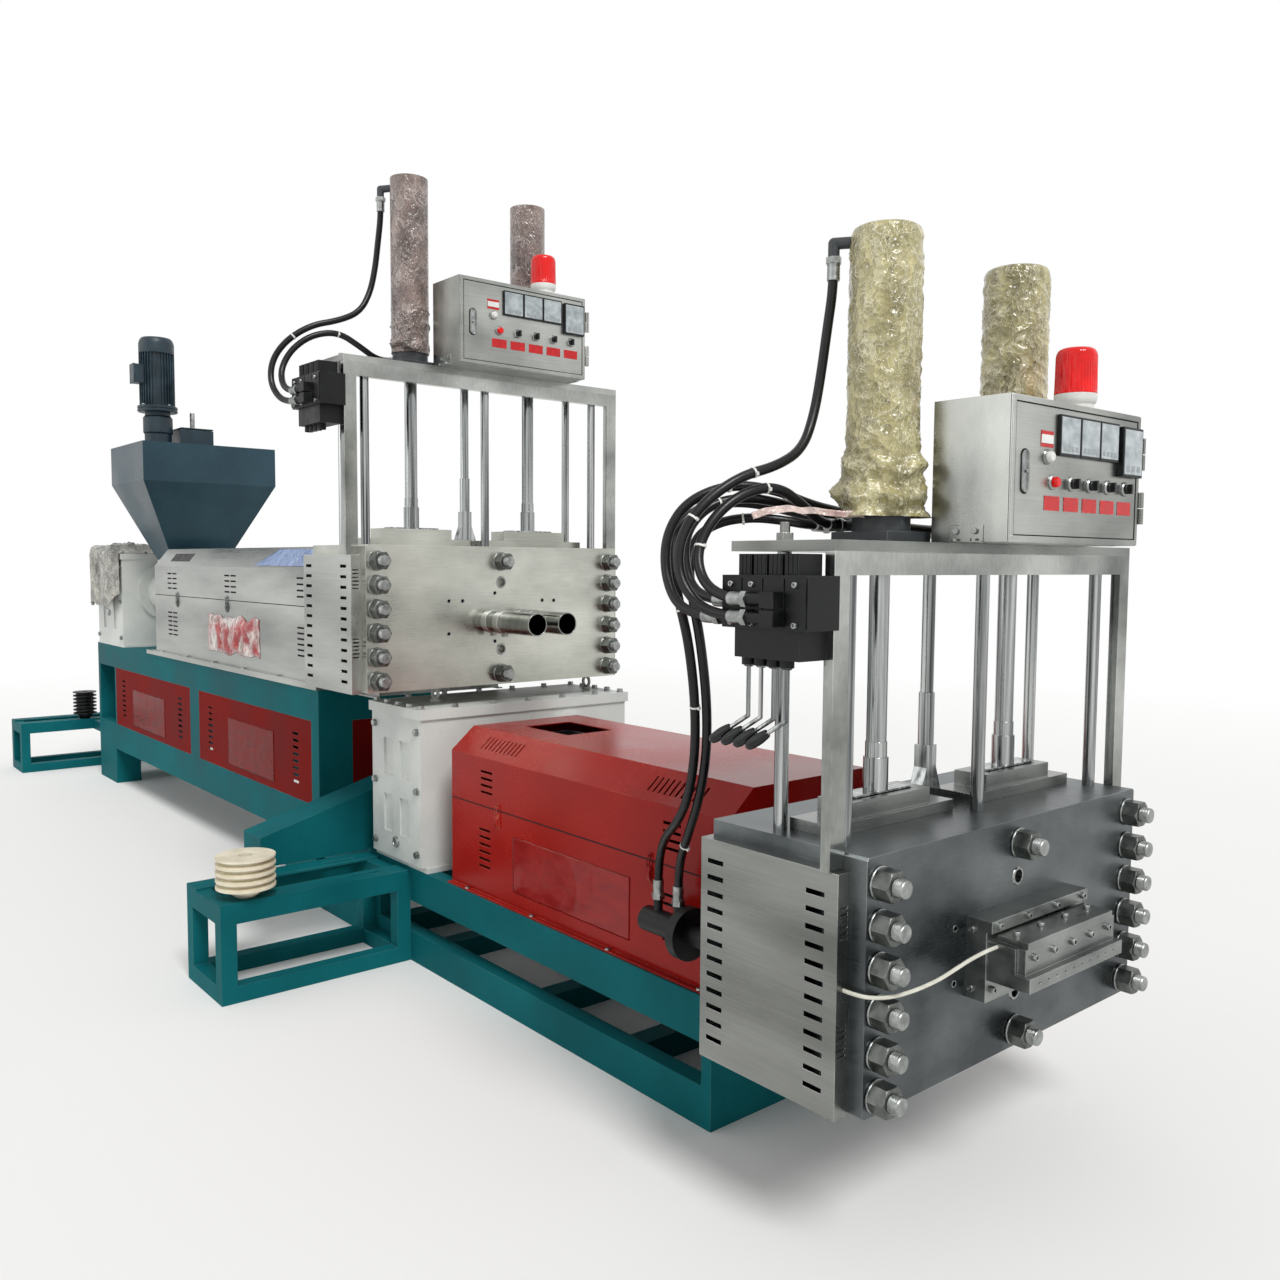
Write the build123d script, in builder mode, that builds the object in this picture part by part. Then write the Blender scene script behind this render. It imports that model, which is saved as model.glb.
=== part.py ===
from build123d import *
import math
import os
from collections import namedtuple

# Two-stage plastic recycling extruder. The first stage melts flake from a hopper and pushes it
# through a hydraulic screen changer into the second stage, which ends in a strand die.
# Millimetres. The origin is on the floor, on the screw's centre line, at the front end of the
# second stage's base frame. X runs the way the plastic flows, Y to the far side and Z up.

# Each stage's screen changer: where its front face stands, how high its block is, how tall the
# portal above it is, and how far its control door stands before the face.
Stage = namedtuple("Stage", "name face_x block_z block_height portal_height door_offset film_radius")
FIRST = Stage("first", -1650, 1099, 561, 680, 72, 78)
SECOND = Stage("second", 702, 390, 580, 655, 88, 93)
STAGES = (FIRST, SECOND)

# Screen changer blocks and the plates bolted before them
BLOCK_HALF_WIDTH = 595
BLOCK_DEPTH = 352
FRONT_PLATE = 120
PLATE_CORNER = 6
NUT_COLUMN_Y = 551
NUT_BOTTOM_MARGIN = 45
NUT_TOP_MARGIN = 60
NUTS_IN_COLUMN = 6
NUT_ACROSS_FLATS = 65
NUT_HEIGHT = 42
STUD_RADIUS = 21
STUD_END = 24
WASHER_RADIUS = 38
WASHER = 6
CENTRE_PORT_RADIUS = 17
CENTRE_PORT_DEPTH = 30
CENTRE_PORT_DROP = 84

# Screen slides, their glands and the rods that lift them
SLIDE_BACK = 225
SLIDE_Y = 283
SLIDE_WIDTH = 220
SLIDE_THICKNESS = 50
SLIDE_FOOT = 25
SLIDE_CLEARANCE = 5
LOWER_SLAB = (480, 125, 28)
UPPER_SLAB = (312, 100, 40)
SLIDE_STAND_UP = 6
COUPLING_RADIUS = 31
COUPLING_HEIGHT = 82
NECK_RADIUS = 27
NECK_HEIGHT = 38
ROD_RADIUS = 25
ROD_CLEARANCE = 1
SLIDE_TRAVEL = 380

# Tie rods between the block and the top plate, as offsets behind the face and across
TIE_ROD_RADIUS = 17
FRONT_TIE_BACK = 108
REAR_TIE_BACK = 300
TIE_Y = 542
CENTRE_TIE_BACK = 121
REAR_CENTRE_BACK = 281
FORK_WIDTH = 84
FORK_DEPTH = 40
FORK_HEIGHT = 60
FORK_NECK_HEIGHT = 150
SLEEVE_RADIUS = 21
SLEEVE_TOP = 290

# Portal of rectangular tube, and the plate that carries the cylinders
PORTAL_FRONT_BACK = 62
PORTAL_DEPTH = 27
PORTAL_TUBE = 50
PORTAL_BEAM = 52
TOP_PLATE = 24
TOP_PLATE_BACK = 372
TOP_STUD_RADIUS = 12
TOP_NUT_FLATS = 36
TOP_NUT_HEIGHT = 20
TOP_STUD_HEIGHT = 45

# Hydraulic cylinders and the packing film round them
CYLINDER_RADIUS = 70
CYLINDER_BORE = 55
CYLINDER_TOP = 765
CYLINDER_CAP_RADIUS = 73
CYLINDER_CAP = 40
CYLINDER_FLANGE = 168
CYLINDER_FLANGE_HEIGHT = 26
PORT_RADIUS = 14
PORT_RISE = 44
PORT_MOUTH = 32
FOOT_PORTS = {"first": ((105,), ()), "second": ((105, 147), (147, 189, 231))}
ELBOW_REACH = 125
ELBOW_DROP = 45
ELBOW_BELOW_TOP = 22
ELBOW_TURN = 215
PISTON_LENGTH = 60
PISTON_CLEARANCE = 0.3
FILM_START = 62
FILM_GAP = 0.3
FILM_TOP = 6
FILM_FLARE = 16

# Control boxes and their doors
CONTROL_BOX_DEPTH = 205
CONTROL_BOX_Y = (-230, 372)
CONTROL_BOX_HEIGHT = 332
CONTROL_SHEET = 3
DOOR_MARGIN = 14
DOOR_SHEET = 4
DOOR_GAP = 5
DOOR_HINGE_RADIUS = 5
METER_FACE = 72
METER_DEPTH = 9
METER_BACK = 60
BIG_METER_FACE = 96
KNOB_RADIUS = 13
KNOB_DEPTH = 22
BEACON_Y = 232
BEACON_RADIUS = 53
BEACON_BASE = 52
BEACON_HEIGHT = 116
BEACON_TAIL = 16

# Hydraulic valve blocks at the portal's near side
VALVE_BACK = (298, 48)
VALVE_DEPTH = 100
VALVE_DROP = (233, 53)
VALVE_LOW_BACK = (270, 80)
VALVE_LOW_DROP = 168
VALVE_CAPS = 4
VALVE_CAP_WIDTH = 38
VALVE_CAP_PITCH = 45
VALVE_CAP_HEIGHT = 46
VALVE_PORT_DROPS = (104, 143)
VALVE_PORT_SIZE = 34
VALVE_PORT_BACK = (154, 114)
FITTING_RADIUS = 13
FITTING_LENGTH = 58
VALVE_REAR_PORTS = ((25, 148), (60, 112))
REAR_FITTING_LENGTH = 40
LEVER_PITCH = 38
LEVER_FIRST_BACK = 262
LEVER_ROD_RADIUS = 5
LEVER_DROP = 120
LEVER_KICK = 40
LEVER_KICK_DROP = 30
LEVER_KICK_OUT = 15
GRIP_RADIUS = 8.5
GRIP_LENGTH = 58
LEVER_HEAD = 18
LEVER_HEAD_RADIUS = 10
LEVER_SOCKET = 14
LEVER_SOCKET_RADIUS = 16
LEVER_SOCKET_GAP = 0.5

# Side covers over the heaters at each end of the blocks
SIDE_COVER_OUT = 40
SIDE_COVER_SHEET = 3
SIDE_COVER_BACK = (473, 45)
SIDE_COVER_DROP = 5
SIDE_COVER_TOP_GAP = 38
SIDE_SLOTS = 12
SIDE_SLOT = (54, 12)
SIDE_SLOT_PITCH = 40
SIDE_SLOT_COLUMNS_BACK = (424, 110)
FRONT_SLOTS = 6
FRONT_SLOT = (26, 6)
FRONT_SLOT_PITCH = 14
FRONT_SLOT_RISES = (140, 400)

# Second stage: base frame, motor table, gearbox, barrel and red cover
FRAME2_HALF = 373
FRAME2_TOP = 380
FRAME2_UPPER_RAIL = 135
FRAME2_LOWER_RAIL = 121
FRAME2_RAIL = 60
FRAME2_FRONT_PLATE = 40
FRAME2_POST = 100
FRAME2_POST_X = -2104
FRAME2_CROSS = 80
FRAME2_CROSS_X = (-1000, -500)
TABLE2_X = (-2104, -1740)
TABLE2_Y = (-1125, -373)
TABLE2_TOP = 369
TABLE_ANGLE = 100
TABLE_ANGLE_DROP = 78
TABLE_SHEET = 10
TABLE_LEG = 58
TABLE_FOOT_RAIL = 62
TABLE_SLOT = (130, 18)
TABLE_SLOT_PITCH = 420
TABLE_SLOT_SHARE = 0.6
GUARD_X = (-2303, -2125)
GUARD_NEAR_Y = -831
GUARD_FAR_Y = 640
GUARD_NEAR_TOP = 490
GUARD_SLOPE = 0.28
GUARD_SHELL = 4
GEARBOX2_X = (-2020, -1610)
GEARBOX2_Y = (-393, 623)
GEARBOX2_Z = (402, 1025)
GEARBOX_LID = 40
GEARBOX_LID_EDGE = 10
POCKET_DEPTH = 9
POCKET2_SIZE = (74, 150)
POCKET2_PITCH = (133, 230)
EYE_RING_RADIUS = 22
EYE_RING_SECTION = 7
EYE_COLLAR_RADIUS = 20
EYE_COLLAR = 12
SHAFT_RADIUS = 40
SHAFT2_Y = 430
BARREL_RADIUS = 110
HOUSING_RADIUS = 205
HOUSING_RIM = 34
HOUSING_NECK = 150
BARREL_FLANGE_RADIUS = 165
BARREL1_FLANGE = 14
BARREL2_FLANGE = 40

# Covers over the barrels: sheet boxes with a hinged lid at the far side
Cover = namedtuple("Cover", "name rear front half base split shoulder top flat_half axis_z")
COVER_SHEET = 4
COVER_FRONT_GAP = 199
COVER2 = Cover("second", -1460, 30, 344, 386, 710, 888, 971, 247, 680)
COVER1 = Cover("first", -5245, -2140, 300, 1020, 1379, 1560, 1667, 215, 1379.5)
COVERS = (COVER1, COVER2)
LID_GAP = 0.3
BARREL_HOLE_GAP = 12
HINGE_RADIUS = 8
HINGE_LENGTH = 40
HINGE_LEAF = 3
HINGE_LEAF_HEIGHT = 34
HINGE_END_GAP = 2
HINGE_MARGIN = 220
FLANGE_WIDTH = 22
FLANGE_HEIGHT = 6
FEED_OPENING_X = (-1320, -1046)
FEED_OPENING_Y = (-105, 105)
THROAT_WALL = 8
THROAT_MARGIN = 6
THROAT_TOP = 940
LATCH_SIZE = (24, 12, 95)
LATCH_ABOVE_SPLIT = 27
LATCHES2_X = (-1141, -302)
LATCHES1_X = (-4800, -3950)

# Strand die on the second stage's face
ADAPTER_DEPTH = 55
ADAPTER_HALF = 218
ADAPTER_Z = (574, 770)
DIE_HEAD_FRONT = 850
DIE_HEAD_HALF = 214
DIE_HEAD_Z = (628, 722)
DIE_COVER = (28, 14)
DIE_CHEEK = 20
DIE_LIP = (18, 34)
DIE_HOLES = 10
DIE_HOLE_RADIUS = 6
DIE_HOLE_PITCH = 38

# Small hydraulic motor behind the second block, beside the cover
MOTOR_AXIS = (-430, 575)
MOTOR_BODY_RADIUS = 36
MOTOR_BODY_X = (-214, -53)
MOTOR_FLANGE_RADIUS = 74
MOTOR_FLANGE = 32
MOTOR_SNOUT_RADIUS = 30
MOTOR_PORTS_X = (-165, -80)
MOTOR_PORT_RADIUS = 13
MOTOR_PORT_TOP = 655

# Loose pulley standing on the second motor table
PULLEY2_CENTRE = (-1800, -1010)
PULLEY2_RADIUS = 106
PULLEY_GROOVES = 4
PULLEY_PITCH = 27
PULLEY_ROOT = 22
PULLEY_LAND = 0.3
PULLEY_FLOOR = 8
PULLEY2_HUB_HEIGHT = 38
PULLEY_HUB_RADIUS = 34
PULLEY_BORE = 24

# First stage: base frame, panels, motor table, gearbox and barrel
FRAME1_X = (-6640, -2750)
FRAME1_HALF = 307
FRAME1_TOP = 990
FRAME1_BOTTOM = 250
FRAME1_TOP_BEAM = 155
FRAME1_LOW_BEAM = 182
FRAME1_WALL = 60
FRAME1_BAYS = ((-6590, -6210), (-6180, -4590), (-4430, -2835))
FRAME1_LEG = (420, 164)
FRAME1_END_POST = 171
FRAME1_DECK = 16
PANEL_SHEET = 4
PANEL_SLOTS = 8
PANEL_SLOT = (70, 14)
PANEL_SLOT_PITCH = 34
PANEL_SLOT_INSET = 190
TRAY_HALF = 318
TRAY_RISE = 30
TRAY_X = (-5400, -2750)
TABLE1_X = (-7383, -7040)
TABLE1_Y = (-754, 307)
TABLE1_TOP = 371
TABLE1_LINK_Y = 200
TABLE1_LINK = 60
PULLEY1_CENTRE = (-7100, -300)
PULLEY1_RADIUS = 82
PULLEY1_GROOVES = 6
GEARBOX1_X = (-6590, -5970)
GEARBOX1_Y = (-307, 560)
GEARBOX1_Z = (1006, 1640)
POCKET1_SIZE = (90, 380)
POCKET1_PITCH = 260
SHAFT1_Y = 330
SHAFT1_LENGTH = 120

# Hopper with its feeder
HOPPER_X = (-5836, -5120)
HOPPER_Y = (-390, 450)
HOPPER_TOP = 2340
HOPPER_KNEE = 2095
HOPPER_NECK_X = (-5690, -5375)
HOPPER_NECK_Y = (-150, 210)
HOPPER_NECK_Z = 1600
HOPPER_SHEET = 6
HOPPER_RIM = 18
HOPPER_LID_Y = 150
NECK_FLANGE = 30
FEEDER_CENTRE = (-5478, -190)
FEEDER_MOTOR_RADIUS = 108
FEEDER_FLANGE_RADIUS = 122
FEEDER_BASE_RADIUS = 92
FEEDER_HEIGHTS = (220, 262, 660, 700)
FEEDER_BOX = (200, 210, 130)
FEEDER_BOX_Y = 30
FEEDER_PIN_RADIUS = 16
FEEDER_PIN_HEIGHT = 110

# Outlet pipes of the first stage
OUTLET_Y = 70
OUTLET_RADIUS = 44
OUTLET_WALL = 4
OUTLET_LENGTH = 362
OUTLET_RISE = 261

# Hoses and the heater cable
HOSE_RADIUS = 12
CABLE_RADIUS = 4.5
CABLE_START = (-611, 672)
CABLE_END = (781, 714)
CABLE_LEAD = 35
CABLE_TAIL = 26
CABLE_POINTS = (
    (724, -596, 672),
    (744, -560, 671),
    (752, -512, 671),
    (755, -460, 672),
    (759, -408, 677),
    (764, -360, 688),
    (771, -312, 702),
    (779, -266, 712),
)
HOSE_LEAD = 60
BEND_SHARE = 0.45

os.makedirs("parts", exist_ok=True)


def save(piece, name):
    """Name a finished piece and write its file."""
    piece.part.label = name
    export_step(piece.part, f"parts/{name}.step")


def block(x, y, z, mode=Mode.ADD):
    """A plain block between two limits along each axis, in the piece that is being made."""
    with Locations(((x[0] + x[1]) / 2, (y[0] + y[1]) / 2, (z[0] + z[1]) / 2)):
        Box(abs(x[1] - x[0]), abs(y[1] - y[0]), abs(z[1] - z[0]), mode=mode)


def bar(radius, start, end, mode=Mode.ADD):
    """A round bar from one point to another, in the piece that is being made."""
    run = Vector(*end) - Vector(*start)
    with Locations(Plane(origin=start, z_dir=run)):
        Cylinder(radius, run.length, align=(Align.CENTER, Align.CENTER, Align.MIN), mode=mode)


def block_top(stage):
    return stage.block_z + stage.block_height


def portal_top(stage):
    return block_top(stage) + stage.portal_height


def plate_top(stage):
    return portal_top(stage) + TOP_PLATE


def axis_z(stage):
    return stage.block_z + stage.block_height / 2


def slide_x(stage):
    return stage.face_x - SLIDE_BACK


def nut_heights(stage):
    """Heights of the nuts in one column of the front plate."""
    low = stage.block_z + NUT_BOTTOM_MARGIN
    pitch = (stage.block_height - NUT_BOTTOM_MARGIN - NUT_TOP_MARGIN) / (NUTS_IN_COLUMN - 1)
    return [low + number * pitch for number in range(NUTS_IN_COLUMN)]


def make_front_plate(stage):
    with BuildPart() as plate:
        block(
            (stage.face_x - FRONT_PLATE, stage.face_x),
            (-BLOCK_HALF_WIDTH, BLOCK_HALF_WIDTH),
            (stage.block_z, block_top(stage)),
        )
        chamfer(plate.edges().filter_by(Axis.X), PLATE_CORNER)
        for side in (-1, 1):
            port_z = axis_z(stage) + side * (stage.block_height / 2 - NUT_TOP_MARGIN - CENTRE_PORT_DROP)
            bar(
                CENTRE_PORT_RADIUS,
                (stage.face_x - CENTRE_PORT_DEPTH, 0, port_z),
                (stage.face_x, 0, port_z),
                mode=Mode.SUBTRACT,
            )
    save(plate, f"{stage.name}_front_plate")


def make_die_block(stage):
    with BuildPart() as body:
        front = stage.face_x - FRONT_PLATE
        block(
            (front - BLOCK_DEPTH, front),
            (-BLOCK_HALF_WIDTH, BLOCK_HALF_WIDTH),
            (stage.block_z, block_top(stage)),
        )
        half_slot = SLIDE_THICKNESS / 2 + SLIDE_CLEARANCE
        half_width = SLIDE_WIDTH / 2 + SLIDE_CLEARANCE
        for side in (-1, 1):
            block(
                (slide_x(stage) - half_slot, slide_x(stage) + half_slot),
                (side * SLIDE_Y - half_width, side * SLIDE_Y + half_width),
                (stage.block_z, block_top(stage)),
                mode=Mode.SUBTRACT,
            )
    save(body, f"{stage.name}_die_block")


def make_clamp_nuts():
    """Washers, nuts and stud ends on both front plates, each set one solid."""
    with BuildPart() as nuts:
        for stage in STAGES:
            places = [(side * NUT_COLUMN_Y, z) for side in (-1, 1) for z in nut_heights(stage)]
            places += [(0, nut_heights(stage)[0]), (0, nut_heights(stage)[-1])]
            washer_end = stage.face_x + WASHER
            nut_end = washer_end + NUT_HEIGHT
            for y, z in places:
                bar(WASHER_RADIUS, (stage.face_x, y, z), (washer_end, y, z))
                bar(STUD_RADIUS, (washer_end, y, z), (nut_end + STUD_END, y, z))
            with BuildSketch(Plane.YZ.offset(washer_end)):
                with Locations(*places):
                    RegularPolygon(NUT_ACROSS_FLATS / 2, 6, major_radius=False, rotation=30)
            extrude(amount=NUT_HEIGHT)
    save(nuts, "clamp_nuts")


def make_side_covers():
    """Sheet covers over the heaters, open towards the block, with rows of slots."""
    with BuildPart() as covers:
        for stage in STAGES:
            rear = stage.face_x - SIDE_COVER_BACK[0]
            front = stage.face_x - SIDE_COVER_BACK[1]
            low = stage.block_z - SIDE_COVER_DROP
            high = block_top(stage) - SIDE_COVER_TOP_GAP
            outer = BLOCK_HALF_WIDTH + SIDE_COVER_OUT
            slots_low = (low + high - (SIDE_SLOTS - 1) * SIDE_SLOT_PITCH) / 2
            for side in (-1, 1):
                block((rear, front), (side * BLOCK_HALF_WIDTH, side * outer), (low, high))
                block(
                    (rear + SIDE_COVER_SHEET, front - SIDE_COVER_SHEET),
                    (side * BLOCK_HALF_WIDTH, side * (outer - SIDE_COVER_SHEET)),
                    (low + SIDE_COVER_SHEET, high - SIDE_COVER_SHEET),
                    mode=Mode.SUBTRACT,
                )
                for back in SIDE_SLOT_COLUMNS_BACK:
                    centres = [
                        (stage.face_x - back, side * outer, slots_low + number * SIDE_SLOT_PITCH)
                        for number in range(SIDE_SLOTS)
                    ]
                    with Locations(*centres):
                        Box(SIDE_SLOT[0], 2 * SIDE_COVER_SHEET + 2, SIDE_SLOT[1], mode=Mode.SUBTRACT)
                for rise in FRONT_SLOT_RISES:
                    centres = [
                        (front, side * (outer - SIDE_COVER_OUT / 2), low + rise + number * FRONT_SLOT_PITCH)
                        for number in range(FRONT_SLOTS)
                    ]
                    with Locations(*centres):
                        Box(2 * SIDE_COVER_SHEET + 2, FRONT_SLOT[0], FRONT_SLOT[1], mode=Mode.SUBTRACT)
    save(covers, "side_covers")


def make_gland_slabs():
    """Stacked slabs round each slide where it leaves the block."""
    half_slot = SLIDE_THICKNESS / 2 + SLIDE_CLEARANCE
    half_width = SLIDE_WIDTH / 2 + SLIDE_CLEARANCE
    with BuildPart() as slabs:
        for stage in STAGES:
            top = block_top(stage)
            for side in (-1, 1):
                centre = side * SLIDE_Y
                level = top
                for width, depth, height in (LOWER_SLAB, UPPER_SLAB):
                    block(
                        (slide_x(stage) - depth / 2, slide_x(stage) + depth / 2),
                        (centre - width / 2, centre + width / 2),
                        (level, level + height),
                    )
                    level += height
                block(
                    (slide_x(stage) - half_slot, slide_x(stage) + half_slot),
                    (centre - half_width, centre + half_width),
                    (top, level),
                    mode=Mode.SUBTRACT,
                )
    save(slabs, "gland_slabs")


def make_slide(stage, side, word):
    """Screen slide with its coupling, rod and piston: everything the cylinder moves."""
    x = slide_x(stage)
    y = side * SLIDE_Y
    slide_top = block_top(stage) + LOWER_SLAB[2] + UPPER_SLAB[2] + SLIDE_STAND_UP
    coupling_top = slide_top + COUPLING_HEIGHT
    piston_low = plate_top(stage) + CYLINDER_FLANGE_HEIGHT + CYLINDER_CAP
    with BuildPart() as slide:
        block(
            (x - SLIDE_THICKNESS / 2, x + SLIDE_THICKNESS / 2),
            (y - SLIDE_WIDTH / 2, y + SLIDE_WIDTH / 2),
            (stage.block_z + SLIDE_FOOT, slide_top),
        )
        bar(COUPLING_RADIUS, (x, y, slide_top), (x, y, coupling_top))
        bar(NECK_RADIUS, (x, y, coupling_top), (x, y, coupling_top + NECK_HEIGHT))
        bar(ROD_RADIUS, (x, y, coupling_top), (x, y, piston_low))
        bar(CYLINDER_BORE - PISTON_CLEARANCE, (x, y, piston_low), (x, y, piston_low + PISTON_LENGTH))
    save(slide, f"{stage.name}_screen_slide_{word}")


def make_tie_rods():
    """Round posts between each block and its top plate, with the forked foot of the rear one."""
    with BuildPart() as rods:
        for stage in STAGES:
            low = block_top(stage)
            high = portal_top(stage)
            places = [(stage.face_x - FRONT_TIE_BACK, side * TIE_Y) for side in (-1, 1)]
            places += [(stage.face_x - REAR_TIE_BACK, side * TIE_Y) for side in (-1, 1)]
            places += [(stage.face_x - CENTRE_TIE_BACK, 0)]
            for x, y in places:
                bar(TIE_ROD_RADIUS, (x, y, low), (x, y, high))
            x = stage.face_x - REAR_CENTRE_BACK
            bar(TIE_ROD_RADIUS, (x, 0, low + FORK_HEIGHT), (x, 0, high))
            bar(SLEEVE_RADIUS, (x, 0, low + FORK_NECK_HEIGHT), (x, 0, low + SLEEVE_TOP))
            with BuildSketch(Plane.YZ.offset(x - FORK_DEPTH / 2)):
                with BuildLine():
                    Polyline(
                        (-FORK_WIDTH / 2, low),
                        (FORK_WIDTH / 2, low),
                        (FORK_WIDTH / 2, low + FORK_HEIGHT / 2),
                        (SLEEVE_RADIUS, low + FORK_HEIGHT + FORK_HEIGHT / 2),
                        (SLEEVE_RADIUS, low + FORK_NECK_HEIGHT),
                        (-SLEEVE_RADIUS, low + FORK_NECK_HEIGHT),
                        (-SLEEVE_RADIUS, low + FORK_HEIGHT + FORK_HEIGHT / 2),
                        (-FORK_WIDTH / 2, low + FORK_HEIGHT / 2),
                        close=True,
                    )
                make_face()
            extrude(amount=FORK_DEPTH)
    save(rods, "tie_rods")


def make_portal_frames():
    """Two uprights and a cross beam of rectangular tube over each block."""
    with BuildPart() as portals:
        for stage in STAGES:
            front = stage.face_x - PORTAL_FRONT_BACK
            depth = (front - PORTAL_DEPTH, front)
            foot = block_top(stage) - SIDE_COVER_TOP_GAP
            outer = BLOCK_HALF_WIDTH + PORTAL_TUBE
            for side in (-1, 1):
                block(depth, (side * BLOCK_HALF_WIDTH, side * outer), (foot, portal_top(stage)))
            block(depth, (-outer, outer), (portal_top(stage) - PORTAL_BEAM, portal_top(stage)))
    save(portals, "portal_frames")


def make_top_plates():
    """Plates over the portals, bored for the rods, with the tie rods' nuts on top."""
    with BuildPart() as plates:
        for stage in STAGES:
            low = portal_top(stage)
            high = plate_top(stage)
            outer = BLOCK_HALF_WIDTH + PORTAL_TUBE
            block((stage.face_x - TOP_PLATE_BACK, stage.face_x - PORTAL_FRONT_BACK), (-outer, outer), (low, high))
            for side in (-1, 1):
                bar(
                    ROD_RADIUS + ROD_CLEARANCE,
                    (slide_x(stage), side * SLIDE_Y, low),
                    (slide_x(stage), side * SLIDE_Y, high),
                    mode=Mode.SUBTRACT,
                )
                with BuildSketch(Plane.XY.offset(high)):
                    with Locations((stage.face_x - REAR_TIE_BACK, side * TIE_Y)):
                        RegularPolygon(TOP_NUT_FLATS / 2, 6, major_radius=False)
                extrude(amount=TOP_NUT_HEIGHT)
                foot = (stage.face_x - REAR_TIE_BACK, side * TIE_Y, high)
                bar(TOP_STUD_RADIUS, foot, (foot[0], foot[1], high + TOP_STUD_HEIGHT))
    save(plates, "top_plates")


def foot_ports(stage, side):
    """How far behind a cylinder's axis its hose ports stand."""
    return FOOT_PORTS[stage.name][0 if side < 0 else 1]


def port_mouth(stage, side, number):
    """Mouth of one elbow at a cylinder's foot, where its hose arrives along +Y."""
    x = slide_x(stage) - foot_ports(stage, side)[number]
    return (x, side * SLIDE_Y - PORT_MOUTH, plate_top(stage) + PORT_RISE)


def elbow_ends(stage):
    """Root, corner and lower end of the elbow at the near cylinder's top."""
    angle = math.radians(ELBOW_TURN)
    x = slide_x(stage) + ELBOW_REACH * math.cos(angle)
    y = -SLIDE_Y + ELBOW_REACH * math.sin(angle)
    z = portal_top(stage) + CYLINDER_TOP - ELBOW_BELOW_TOP
    return (slide_x(stage), -SLIDE_Y, z), (x, y, z), (x, y, z - ELBOW_DROP)


def make_cylinders():
    """Hydraulic cylinders that lift the slides: flange, barrel and cap, bored for the piston."""
    with BuildPart() as cylinders:
        for stage in STAGES:
            low = plate_top(stage)
            high = portal_top(stage) + CYLINDER_TOP
            x = slide_x(stage)
            floor = low + CYLINDER_FLANGE_HEIGHT + CYLINDER_CAP
            for side in (-1, 1):
                y = side * SLIDE_Y
                half = CYLINDER_FLANGE / 2
                block((x - half, x + half), (y - half, y + half), (low, low + CYLINDER_FLANGE_HEIGHT))
                bar(CYLINDER_RADIUS, (x, y, low), (x, y, high - CYLINDER_CAP))
                bar(CYLINDER_CAP_RADIUS, (x, y, high - CYLINDER_CAP), (x, y, high))
                for reach in foot_ports(stage, side):
                    corner = (x - reach, y, low + PORT_RISE)
                    bar(PORT_RADIUS, (x, y, low + PORT_RISE), corner)
                    with Locations(corner):
                        Sphere(PORT_RADIUS)
                    bar(PORT_RADIUS, corner, (corner[0], y - PORT_MOUTH, corner[2]))
                if side < 0:
                    root, corner, end = elbow_ends(stage)
                    bar(PORT_RADIUS, root, corner)
                    with Locations(corner):
                        Sphere(PORT_RADIUS)
                    bar(PORT_RADIUS, corner, end)
                bar(ROD_RADIUS + PISTON_CLEARANCE, (x, y, low), (x, y, floor), mode=Mode.SUBTRACT)
                bar(CYLINDER_BORE, (x, y, floor - PISTON_CLEARANCE), (x, y, high - CYLINDER_CAP), mode=Mode.SUBTRACT)
    save(cylinders, "screen_cylinders")


def make_cylinder_films():
    """Packing film wound round the cylinders, bunched where it is tied at the bottom."""
    with BuildPart() as films:
        for stage in STAGES:
            low = plate_top(stage) + FILM_START
            cap = portal_top(stage) + CYLINDER_TOP
            span = cap - low
            radius = stage.film_radius
            inner = CYLINDER_CAP_RADIUS + FILM_GAP
            for side in (-1, 1):
                with BuildSketch(Plane.XZ):
                    with BuildLine():
                        Polyline(
                            (inner, low),
                            (radius + FILM_FLARE / 4, low),
                            (radius + FILM_FLARE / 2, low + span / 12),
                            (radius, low + span / 3),
                            (radius - 1, cap - span / 6),
                            (radius, cap),
                            (inner, cap + FILM_TOP),
                            (0, cap + FILM_TOP),
                            (0, cap + FILM_GAP),
                            (inner, cap + FILM_GAP),
                            close=True,
                        )
                    make_face()
                sleeve = revolve(axis=Axis.Z, mode=Mode.PRIVATE)
                with Locations((slide_x(stage), side * SLIDE_Y, 0)):
                    add(sleeve)
            root, corner, _ = elbow_ends(stage)
            bar(PORT_RADIUS + FILM_GAP, root, corner, mode=Mode.SUBTRACT)
    save(films, "cylinder_films")


def control_box_x(stage):
    front = stage.face_x + stage.door_offset
    return (front - CONTROL_BOX_DEPTH, front - DOOR_SHEET)


def control_box_z(stage):
    return (plate_top(stage), plate_top(stage) + CONTROL_BOX_HEIGHT)


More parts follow.
